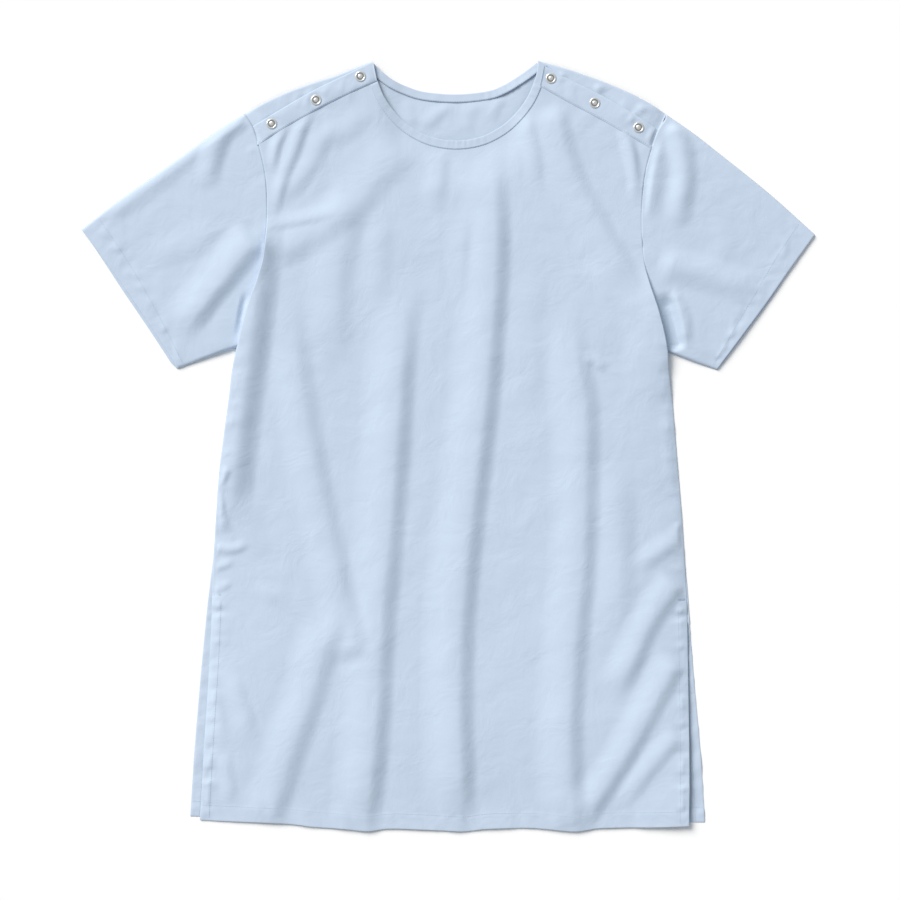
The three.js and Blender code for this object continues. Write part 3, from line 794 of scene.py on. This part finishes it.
def snapSpot(s, i):
    # the middle of a cap, and how high it starts and ends
    low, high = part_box(f"{s}_snap_{i}_cap")
    return (low[0] + high[0]) / 2 / mm, (low[1] + high[1]) / 2 / mm, low[2] / mm, high[2] / mm


snapSpots = {s: [snapSpot(s, i) for i in (1, 2, 3)] for s in side}


tubeEdge = 1.6   # how high the folded edge of a sleeve or shoulder lies


def rimShare(gap):
    # how a laid tube rises from its folded edge
    return 0.72 * quarterRound(gap, 4.5) + 0.28 * (1 - np.exp(-gap / 24))


def shoulderRim(s, x, y):
    edgeAway, _ = fromLine(shoulderLine[s], x, y)
    return tubeEdge + (level["seam"] - 1.0) * rimShare(np.abs(edgeAway))


# small creases across the shoulder strips and the cloth behind them
shoulderFolds = {
    "right": [
        fold([(-208, 484), (-210, 467), (-212, 451)], 1.0, 9, 7, (0.25, 0.3)),
        fold([(-191, 482), (-195, 467), (-198, 449)], 1.0, 9, 7, (0.25, 0.3)),
        fold([(-167, 492), (-172, 479), (-174, 467)], 0.9, 9, 7, (0.25, 0.3)),
        fold([(-149, 496), (-150, 483), (-152, 472)], 0.8, 8, 7, (0.25, 0.3)),
        fold([(-174, 493), (-182, 489), (-193, 482)], 0.8, 9, 7, (0.25, 0.3)),
        fold([(-230, 475), (-237, 466), (-246, 461)], 0.8, 10, 8, (0.25, 0.3)),
        fold([(-269, 448), (-258, 439), (-253, 427)], 0.8, 10, 8, (0.25, 0.3)),
    ],
    "left": [
        fold([(214, 489), (200, 486), (189, 477)], 2.3, 9, 8, (0.25, 0.3)),
        fold([(271, 459), (257, 457), (245, 450)], 2.5, 9, 8, (0.25, 0.3)),
        fold([(248, 451), (241, 444), (238, 435)], 1.8, 7, 7, (0.25, 0.3)),
        fold([(145, 511), (147, 502), (143, 491)], 1.8, 8, 7, (0.25, 0.3)),
        fold([(159, 497), (161, 479), (159, 463)], 0.9, 12, 9, (0.25, 0.3)),
        fold([(225, 471), (232, 460), (236, 448)], 0.9, 12, 9, (0.25, 0.3)),
        fold([(271, 432), (266, 422), (261, 411)], 1.9, 7, 6, (0.25, 0.3)),
        fold([(285, 448), (276, 443), (271, 432)], 1.5, 8, 7, (0.25, 0.3)),
    ],
}


def stripHeight(s):
    def height(x, y):
        x, y = np.asarray(x, float), np.asarray(y, float)
        seamAway, along = fromLine(stripSeam[s], x, y)
        freeAway = np.abs(fromLine(stripFree[s], x, y)[0])
        z = level["strip"] + 0.5 + 0.7 * unevenness(x, y, 26, 61) * ease(0, 9, freeAway)
        z = z + 0.5 * pucker(along * 180, seamAway, 12, 9, 62)
        z = z - 0.5 * np.exp(-freeAway / 3)
        armAway, _ = fromLine(armholeLine[s], x, y)
        toArm = 1 - ease(6, 24, np.abs(armAway))
        z = z + (shoulderRim(s, x, y) - 0.5 + 2.3 * ease(0.5, 4, armAway * side[s]) - z) * toArm
        z = z - 1.6 * (1 - ease(96, 122, np.abs(x)))
        z = z + 0.7 * foldSum(shoulderFolds[s], x, y) * ease(0, 8, freeAway) * ease(0, 5, np.abs(seamAway))
        # sewn to the front along the seam, it lies just above the front's edge
        z = z + (frontHeight(x, y) + 0.55 - z) * np.exp(-np.abs(seamAway) / 2.4)
        for cx, cy, *_ in snapSpots[s]:
            z = z + (level["strip"] - z) * (1 - ease(6.5, 13, np.hypot(x - cx, y - cy)))
        return z
    return height


def underlapHeight(s):
    # the back's cloth turned forwards over the shoulder:
    # it rises to just under the strip's free edge, then drops to the snaps
    def height(x, y):
        x, y = np.asarray(x, float), np.asarray(y, float)
        edgeAway, along = fromLine(shoulderLine[s], x, y)
        edgeAway = np.abs(edgeAway)
        freeAway, _ = fromLine(stripFree[s], x, y)
        inside = freeAway * -side[s]
        z = level["underlap"] - 0.1 + 2.9 * (1 - ease(0, 9, inside))
        z = z - 4.2 * (1 - quarterRound(edgeAway, 1.8)) + 0.8 * pucker(along * 190, inside, 15, 20, 66)
        z = z + foldSum(shoulderFolds[s], x, y) * ease(3, 12, edgeAway)
        armAway, _ = fromLine(armholeLine[s], x, y)
        z = z + (shoulderRim(s, x, y) - 0.7 - z) * (1 - ease(0, 24, np.abs(armAway)))
        for cx, cy, *_ in snapSpots[s]:
            z = np.where(np.hypot(x - cx, y - cy) < 8, level["underlap"], z)
        return z
    return height


stripLook = {
    "start": {"right": 0.0, "left": 0.05},   # on the wearer's left the binding covers its end
    "rows": 74,
    "thick": 1.3,
    "underlapThick": 2.4,
    "underlapPast": 8,    # how far the underlap goes on below the seam
}


def downFrom(s):
    # the way across the strip, from its free edge to its seam
    return np.array([side[s] * -0.44, -0.9])


for s in side:
    seam, free = stripSeam[s], stripFree[s]
    # the shoulder strip, over the front cloth's edge
    shares = np.linspace(stripLook["start"][s], 1, stripLook["rows"])
    onward = np.array([side[s] * 0.88, -0.47])
    seamRun, freeRun = np.vstack([seam, [seam[-1] + onward * 2.5]]), np.vstack([free, [free[-1] + onward * 6]])
    points, faces = band(onLine(seamRun, shares), onLine(freeRun, shares), stripHeight(s), stripLook["thick"], 16)
    strip = makePiece(s + "ShoulderStrip", points, facingUp(points, faces), cotton)
    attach(strip, s + "_corner")
    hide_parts(s + "_shoulder_strip")
    asCloth(strip, "folded", doubled=True)
    # the underlap
    neckFirst = smoothLine(shoulderEdge[s], stripLook["rows"])[::-1]
    above = onLine(seam, np.linspace(0.06, 1, stripLook["rows"]))
    inner = above + downFrom(s) * stripLook["underlapPast"]
    inner[:, 0] = side[s] * np.minimum(side[s] * inner[:, 0], side[s] * above[:, 0])
    points, faces = band(inner, neckFirst, underlapHeight(s), stripLook["underlapThick"], 22)
    points[:, 2] = np.maximum(points[:, 2], 0.6)
    lap = makePiece(s + "Underlap", points, facingUp(points, faces), cotton)
    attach(lap, "gown")
    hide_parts(s + "_underlap_facing")
    asCloth(lap, "folded", doubled=True)

# The sleeves.

print("gown: laying out the sleeves")


def edgeGap(s, topLine, x, y):
    # how far in from the sleeve's two folded edges
    topGap, _ = fromLine(topLine, x, y)
    lowGap, _ = fromLine(smoothLine(sleeveBottom[s], 30), x, y)
    return np.minimum(np.abs(topGap), np.abs(lowGap))


def sleeveHeight(s, x, y, u, v):
    gap = edgeGap(s, smoothLine(sleeveTop[s], 40), x, y)
    plateau = level["seam"] + 0.6 - 3.8 * ease(0.15, 1, u)
    z = tubeEdge + (plateau - tubeEdge) * rimShare(gap)
    length = sleeveLook["length"]
    inward = length * u
    calm = ease(0, 22, gap)
    for f in sleeveFolds[s]:
        z = z + foldHeight(f, x, y) * (1 if f["kind"] == "pit" else ease(-4, 14, gap) * ease(1, 12, inward))
    z = z + (0.5 * unevenness(x, y, 70, 71) + 0.3 * unevenness(x, y, 30, 72)) * calm + 0.2 * unevenness(x, y, 13, 73)
    z = z + 0.7 * pucker(v * 320, inward, 15, 15, 74)
    cuffGap = length * (1 - u)
    besideStitches = np.exp(-((cuffGap - 19) / 10) ** 2) * ease(2, 16, gap)
    z = z + (0.75 * unevenness(x, y, 9, 75) + 0.5 * unevenness(x, y, 14, 76)) * besideStitches
    z = z + 0.16 * (1 - ease(18, 26, cuffGap))
    return np.maximum(z, 1.5 + 0.4 * ease(0, 20, gap))


sleeveFolds = {
    "right": [
        fold([(-270, 446), (-284, 436), (-308, 414), (-321, 377), (-326, 335)], 5.2, 24, 18, (0.05, 0.4)),
        fold([(-300, 425), (-352, 390), (-420, 338), (-478, 296)], 4.2, 12, 26, (0.25, 0.2)),
        fold([(-256, 272), (-271, 257), (-312, 207), (-347, 162), (-368, 138)], 6.4, 42, 21, (0.1, 0.3)),
        fold([(-300, 300), (-350, 262), (-420, 236)], 1.6, 34, 22, (0.3, 0.4)),
        fold([(-276, 208), (-283, 172), (-289, 134)], -3.2, 8, 6, (0.25, 0.55), "pit"),
        fold([(-256, 404), (-268, 396), (-284, 392)], 1.0, 8, 7, (0.1, 0.4)),
    ],
    "left": [
        fold([(296, 448), (310, 425), (318, 375), (312, 318), (304, 280)], 5.4, 22, 19, (0.1, 0.4)),
        fold([(268, 425), (276, 396), (272, 340), (266, 300)], 3.4, 10, 18, (0.2, 0.35)),
        fold([(276, 262), (330, 252), (380, 236), (430, 222)], 4.2, 30, 26, (0.15, 0.35)),
        fold([(290, 215), (300, 180), (310, 132)], -6.8, 24, 13, (0.25, 0.14), "pit"),
        fold([(298, 216), (311, 190), (319, 160), (317, 138)], 2.4, 16, 14, (0.15, 0.25)),
        fold([(350, 330), (372, 290), (380, 230)], 1.2, 36, 24, (0.4, 0.4)),
    ],
}
sleeveLook = {
    "length": 215,   # armhole to cuff, about half way down
    "around": 118,   # points from the top fold to the bottom one
    "peek": {"right": 4.2, "left": 1.5},   # how far the lower layer shows past the cuff
    "hem": 23,
}
sleeveLayers = {}


def bendSleeve(piece):
    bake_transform(piece)


for s in side:
    top = smoothLine(sleeveTop[s], 60)
    arm = np.vstack([top[:1], armholeLine[s][::-1][1:]])
    u = np.concatenate([np.linspace(0, 0.03, 4)[:-1], np.linspace(0.03, 0.9, 76), np.linspace(0.9, 1, 14)[1:]])
    around = sleeveLook["around"]
    v = (1 - np.cos(np.linspace(0, math.pi, around))) / 2 * 0.35 + np.linspace(0, 1, around) * 0.65
    plan = patch(top, smoothLine(sleeveBottom[s], 40), arm, smoothLine(cuff[s], 60), u, v)
    uu, vv = np.meshgrid(u, v)
    x, y = plan[..., 0], plan[..., 1]
    upper = np.dstack([plan, sleeveHeight(s, x, y, uu, vv)])
    under = 0.5 + 1.1 * (1 - quarterRound(edgeGap(s, top, x, y), 5)) + 0.15 * unevenness(x, y, 40, 78)
    out = plan[:, -1] - plan[:, -2]
    out = out / np.linalg.norm(out, axis=1, keepdims=True)
    peek = sleeveLook["peek"][s] * ease(0.03, 0.5, vv) * (1 - 0.6 * ease(0.94, 1, vv)) * ease(0.7, 1, uu)
    lower = np.dstack([plan + out[:, None] * peek[..., None], under])
    sleeveLayers[s] = (upper, lower)
    # rows run from armhole to cuff, and each goes once round the tube
    loop = np.concatenate([upper, lower[::-1][1:-1]], axis=0).transpose(1, 0, 2)
    outward = loop[-1] - loop[-2]
    outward[:, 2] = 0
    outward /= np.linalg.norm(outward, axis=1, keepdims=True)
    sign = np.where(np.arange(loop.shape[1]) < len(v), -1.0, 1.0)
    thin = np.interp(loop[-1][:, 2], [0.5, 1.6, 4], [1, 0.3, 1])
    # the cuff is turned in: over its edge, then back along the inside
    turned = []
    for reach, dz in [(0.55, 0.35), (0.8, 1.0), (0.3, 1.35), (-3, 1.4), (-12, 1.3), (-23, 1.2)]:
        row = loop[-1] + outward * reach
        row[:, 2] += sign * dz * thin
        turned.append(row)
    seamRow = loop[0].copy()
    seamRow[:, 2] += sign * 1.0 * np.interp(loop[0][:, 2], [0.5, 1.6, 4], [0, 0.2, 1])
    loop = np.concatenate([seamRow[None], loop, np.array(turned)], axis=0)
    faces = gridFaces(*loop.shape[:2], closed=True)
    if side[s] > 0:
        faces = faces[:, ::-1]
    sleeve = makePiece(s + "Sleeve", loop.reshape(-1, 3), faces, cotton)
    bendSleeve(sleeve)
    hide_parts(s + "_sleeve", s + "_sleeve_head")
    asCloth(sleeve, doubled=True)

# Neck binding and facing.

print("gown: binding the neck")
bindingLook = {
    "width": 12.0,
    "thick": 1.3,
    "overFront": 0.85,
    "overStrip": {"left": 1.5, "right": -1.2},
    "stitchInset": 1.2,
    "facingWidth": 11.3,
    "facingStitch": 10.2,
}


def besideLine(line, distance):
    # the line moved sideways, to the left of its way
    way = np.gradient(line, axis=0)
    way /= np.maximum(np.linalg.norm(way, axis=1, keepdims=True), 1e-9)
    return line + np.stack([-way[:, 1], way[:, 0]], -1) * distance


bindingInner = smoothLine([(-107.5, 499)] + neckFront + [(109.5, 507), (111, 521.5)], 220)
bindingOuter = onLine(besideLine(bindingInner, -bindingLook["width"]), np.linspace(0, 0.984, 220))


def bindingHeight(x, y):
    across, along = fromLine(bindingInner, x, y)
    gathered = 0.3 + 0.7 * ease(-60, 30, x)   # more towards the wearer's left
    ripple = 0.6 * pucker(along * 420, np.abs(across) - 4, 4, 4, 83)
    z = frontHeight(x, y) + bindingLook["overFront"] + ripple * gathered
    for s in side:
        past, _ = fromLine(stripSeam[s], x, y)
        past = past * side[s]
        onStrip = ease(-3, 3, past) * (np.abs(x) > 90)
        z = z * (1 - onStrip) + (level["strip"] - 1.6 + bindingLook["overStrip"][s]) * onStrip
    return z


points, faces = band(bindingInner, bindingOuter, bindingHeight, bindingLook["thick"], 10)
faces = facingUp(points, faces)
normals = vertexNormals(points, np.array(faces[:-2]))
for s in side:
    half = [f for f in faces if (points[f].mean(0)[0] >= 0) == (s == "left")]
    binding = makePiece(s + "NeckBinding", points, half, cottonBand, normals)
    bendCorner(binding)
    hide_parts(s + "_neck_binding", s + "_strip_end_binding", "front_neck_binding")
    asCloth(binding, "folded", doubled=True)


def facingHeight(x, y):
    x, y = np.asarray(x, float), np.asarray(y, float)
    away, along = fromLine(backNeckLine, x, y)
    away = np.abs(away)
    gape = 1.1 * ease(40, 80, x)   # it stands off the back a little near the wearer's left shoulder
    z = 1.9 + neckRise(x, y) + (0.7 + gape) * ease(0, 12, away) + 0.35 * pucker(along * 260, away - 6, 12, 12, 81)
    return z + 0.8 * pucker(along * 260, away - 6, 3.4, 9, 84) * ease(10, 60, x) + 0.4 * unevenness(x, y, 40, 82)


shares = np.linspace(0.015, 0.985, 130)
inner = besideLine(onLine(backNeckLine, shares), -0.3)
points, faces = band(inner, besideLine(inner, -bindingLook["facingWidth"]), facingHeight, bindingLook["thick"], 12)
facing = makePiece("backNeckFacing", points, facingUp(points, faces), cottonBand)
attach(facing, "gown")
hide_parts("back_neck_facing")
asCloth(facing, "folded", doubled=True)


def flatAt(z):
    return lambda x, y: np.full(np.shape(x), z)


# the side seams are inside, where the two cloths are sewn together and turned
for s in side:
    line = onLine(sideLine[s], np.linspace(0.35, 0.985, 60)) + (-side[s] * 1.5, 0)
    points, faces = band(line, line + (-side[s] * 8, 0), flatAt(1.75), 0.6, 6)
    allowance = makePiece(s + "SideSeam", points, facingUp(points, faces), cotton)
    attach(allowance, "gown")
    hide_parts(s + "_side_seam")
    asCloth(allowance, "folded", doubled=True)

# Snaps.

print("gown: pressing the snaps")
snapLook = {
    # radius and height shares of the cap, from the rim in to the middle
    "profile": [(0.93, -0.10), (1.0, 0.12), (0.99, 0.34), (0.93, 0.55), (0.84, 0.64), (0.75, 0.60), (0.68, 0.44),
                (0.63, 0.24), (0.60, 0.16), (0.53, 0.15), (0.49, 0.22), (0.47, 0.45), (0.42, 0.72), (0.33, 0.90),
                (0.20, 0.985)],
    "shadedFrom": 6,    # the rings in the groove round the middle, where shade is painted with a darker nickel
    "shadedTo": 10,
    "around": 56,
}


def snapCap(s, i):
    cx, cy, _, high = snapSpots[s][i - 1]
    nodeLow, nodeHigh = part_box(f"{s}_snap_{i}_cap")
    radius = (nodeHigh[0] - nodeLow[0]) / 2 / mm
    base = level["strip"] + 0.05
    n = snapLook["around"]
    a = np.linspace(0, 2 * math.pi, n, endpoint=False)
    rings = []
    for r, share in snapLook["profile"]:
        z = np.full(n, base + (high - base) * share)
        rings.append(np.stack([cx + radius * r * np.cos(a), cy + radius * r * np.sin(a), z], -1))
    points = np.concatenate(rings + [np.array([[cx, cy, high]])])
    faces = gridFaces(len(rings), n, closed=True).tolist()
    tip = len(points) - 1
    last = tip - n
    faces += [[last + k, last + (k + 1) % n, tip] for k in range(n)]
    cap = makePiece(f"{s}SnapCap{i}", points, faces, nickel)
    # painted shade: the groove's rings take the darker nickel
    cap.data.materials.append(grooveShadeNickel)
    for k, polygon in enumerate(cap.data.polygons):
        if snapLook["shadedFrom"] <= k // n <= snapLook["shadedTo"]:
            polygon.material_index = 1
    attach(cap, s + "_corner")
    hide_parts(f"{s}_snap_{i}_cap")


for s in side:
    for i in (1, 2, 3):
        snapCap(s, i)
        for part in ("socket", "stud", "post"):
            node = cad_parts[f"{s}_snap_{i}_{part}"]
            if not node.material_slots:
                node.data.materials.append(nickel)
            for materialSlot in node.material_slots:
                materialSlot.material = nickel

# Stitches.

print("gown: sewing the stitches")
stitchLook = {
    "length": 2.5, "gap": 0.75, "radius": 0.2, "sides": 5,
    # along the stitch, how thick, and how far it dips, as shares of its length and radius
    "rings": [(0.0, 0.35, -0.6), (0.12, 0.95, 0.0), (0.5, 1.0, 0.25), (0.88, 0.95, 0.0), (1.0, 0.35, -0.6)],
}


def stitchRow(line, height=None, under=False, length=stitchLook["length"], radius=stitchLook["radius"]):
    # thread lying on the cloth: short spindles end to end; height gives the cloth at x, y, if the line has none
    s = lineLengths(line)
    pitch = length + stitchLook["gap"]
    count = max(1, int(s[-1] / pitch))
    starts = (np.arange(count) + 0.15) * pitch / s[-1]
    stops = starts + length / s[-1]
    a, b = onLine(line, np.clip(starts, 0, 1)), onLine(line, np.clip(stops, 0, 1))
    if height:
        lift = (-1 if under else 1) * radius * 0.5
        a, b = [np.column_stack([end, height(end[:, 0], end[:, 1]) + lift]) for end in (a, b)]
    way = b - a
    way /= np.maximum(np.linalg.norm(way, axis=1, keepdims=True), 1e-9)
    sideways = np.stack([-way[:, 1], way[:, 0], np.zeros(len(way))], -1)
    sideways /= np.maximum(np.linalg.norm(sideways, axis=1, keepdims=True), 1e-9)
    upward = np.cross(way, sideways)
    sides, rings = stitchLook["sides"], stitchLook["rings"]
    turn = np.linspace(0, 2 * math.pi, sides, endpoint=False)[None, :, None]
    spokes = sideways[:, None] * np.cos(turn) + upward[:, None] * np.sin(turn)
    ringPoints = []
    for share, thick, dip in rings:
        middle = a + (b - a) * share + upward * (dip * radius)
        ringPoints.append(middle[:, None] + spokes * radius * thick)
    points = np.stack(ringPoints, 1).reshape(-1, 3)   # stitch by stitch, ring by ring, side by side
    one = gridFaces(len(rings), sides, closed=True)
    each = len(rings) * sides
    quads = (one[None] + (np.arange(count) * each)[:, None, None]).reshape(-1, 4)
    return points, quads


def stitchPiece(name, rowsOfStitches):
    points, faces, base = [], [], 0
    for p, f in rowsOfStitches:
        points.append(p)
        faces.append(f + base)
        base += len(p)
    return makePiece(name, np.concatenate(points), np.concatenate(faces), sewingThread)


def hemRow(hemLine, xLow, xHigh):
    x = np.linspace(xLow, xHigh, 160)
    return np.stack([x, np.interp(x, hemLine[:, 0], hemLine[:, 1]) + hemDepth], -1)


def slitRow(s, slit, low, high):
    return onLine(smoothLine(slit[s], 80), np.linspace(low, high, 120)) + (-side[s] * slitHemDepth, 0)


# front hem and slit hems go with the skirt
skirtRows = [stitchRow(hemRow(hemFront, -332, 322), frontHeight)]
for s in side:
    line = slitRow(s, slitFront, 0.0, 0.985)
    skirtRows.append(stitchRow(line[(line[:, 1] > -506) & (line[:, 1] < skirtFold["cut"])], frontHeight))
bendSkirt(stitchPiece("skirtStitches", skirtRows))

backRows = []
for line in [hemRow(hemBack, -345, 344)] + [slitRow(s, slitBack, 0.005, 0.97) for s in side]:
    backRows += [stitchRow(line, backHeight), stitchRow(line, flatAt(0.3), under=True)]
line = besideLine(onLine(backNeckLine, np.linspace(0.03, 0.97, 130)), -bindingLook["facingStitch"])
backRows.append(stitchRow(line, facingHeight))
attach(stitchPiece("backStitches", backRows), "gown")

# bartacks close the tops of the slits: close threads across the seam
tackLook = {"threads": 12, "pitch": 0.26, "from": 1.8, "to": 13.5, "radius": 0.15, "length": 10.5}
for s in side:
    x0, y0 = sideLine[s][np.argmin(np.abs(sideLine[s][:, 1] - slitTop))]
    tack = []
    for k in range(tackLook["threads"]):
        y, shift = y0 + 1.2 + k * tackLook["pitch"], 0.3 * (k % 2)
        line = np.array([(x0 - side[s] * (tackLook["to"] + shift), y),
                         (x0 - side[s] * (tackLook["from"] - shift), y + 0.1)])
        tack.append(stitchRow(onLine(line, np.linspace(0, 1, 8)), frontHeight,
                              length=tackLook["length"], radius=tackLook["radius"]))
    piece = stitchPiece(s + "SlitBartack", tack)
    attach(piece, "gown")
    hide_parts(s + "_slit_bartack")

for s in side:
    # the binding's stitches, near its outer edge
    line = besideLine(bindingInner, bindingLook["stitchInset"] - bindingLook["width"])
    line = line[(line[:, 1] < 512) & (line[:, 0] * side[s] > 0.5)]
    bendCorner(stitchPiece(s + "BindingStitches", [stitchRow(line, bindingHeight)]))
    # the strip's edge stitches, just above its seam
    line = onLine(stripSeam[s], np.linspace(0.07, 0.98, 80)) - downFrom(s) * 2.2
    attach(stitchPiece(s + "StripStitches", [stitchRow(line, stripHeight(s))]), s + "_corner")
    # the sleeve hem's, through both layers
    upper, lower = sleeveLayers[s]
    fromCuff = np.linalg.norm(upper[40, :, :2] - upper[40, -1, :2], axis=1)
    column = int(np.argmin(np.abs(fromCuff - sleeveLook["hem"])))
    rows = [stitchRow(upper[3:-3, column] + (0, 0, 0.1)), stitchRow(lower[3:-3, column] - (0, 0, 0.12))]
    bendSleeve(stitchPiece(s + "SleeveStitches", rows))

# Table, light and camera.

print("gown: lighting the table")
studio = {
    "key": 3.86,
    "keyFrom": (-0.55, 0.59, 0.60),
    "keyTint": (1.0, 0.96, 0.915),
    "softness": 34,     # how wide the key light looks, in degrees
    "world": 0.44,
    "worldTint": (0.93, 1.0, 1.08),
    "floor": 0.88,
    "floorReach": 30.0,
}


def makeFloor():
    mesh = bpy.data.meshes.new("table")
    size = studio["floorReach"]
    mesh.from_pydata([(-size, -size, 0), (size, -size, 0), (size, size, 0), (-size, size, 0)], [], [(0, 1, 2, 3)])
    table = bpy.data.objects.new("table", mesh)
    bpy.context.scene.collection.objects.link(table)
    material, _, shader = newMaterial("paleTable")
    pale = (studio["floor"], studio["floor"], studio["floor"], 1)
    setInputs(shader, {"Base Color": pale, "Roughness": 0.95, "Specular IOR Level": 0.0})
    mesh.materials.append(material)


def makeKey():
    light = bpy.data.lights.new("keyLight", "SUN")
    light.energy = studio["key"]
    light.angle = math.radians(studio["softness"])
    light.color = studio["keyTint"]
    lamp = bpy.data.objects.new("keyLight", light)
    bpy.context.scene.collection.objects.link(lamp)
    lamp.location = Vector(studio["keyFrom"]) * 3
    lamp.rotation_euler = (-Vector(studio["keyFrom"])).to_track_quat("-Z", "Y").to_euler()


makeFloor()
makeKey()
world = bpy.data.worlds.new("studio")
world.use_nodes = True
setInputs(world.node_tree.nodes["Background"], {"Color": (*studio["worldTint"], 1), "Strength": studio["world"]})
bpy.context.scene.world = world
bpy.context.scene.view_settings.view_transform = "Standard"

viewpoint = {"aim": (-0.0024, -0.0047), "height": 3.0, "width": 1.215, "roll": 0.6}
lens = bpy.data.cameras.new("camera")
lens.sensor_width = 36
lens.lens = 36 * (viewpoint["height"] - 0.006) / viewpoint["width"]
lens.clip_end = 90
camera = bpy.data.objects.new("camera", lens)
camera.location = (viewpoint["aim"][0], viewpoint["aim"][1], viewpoint["height"])
camera.rotation_euler = (0, 0, math.radians(viewpoint["roll"]))
bpy.context.scene.collection.objects.link(camera)
bpy.context.scene.camera = camera

print("gown: done")
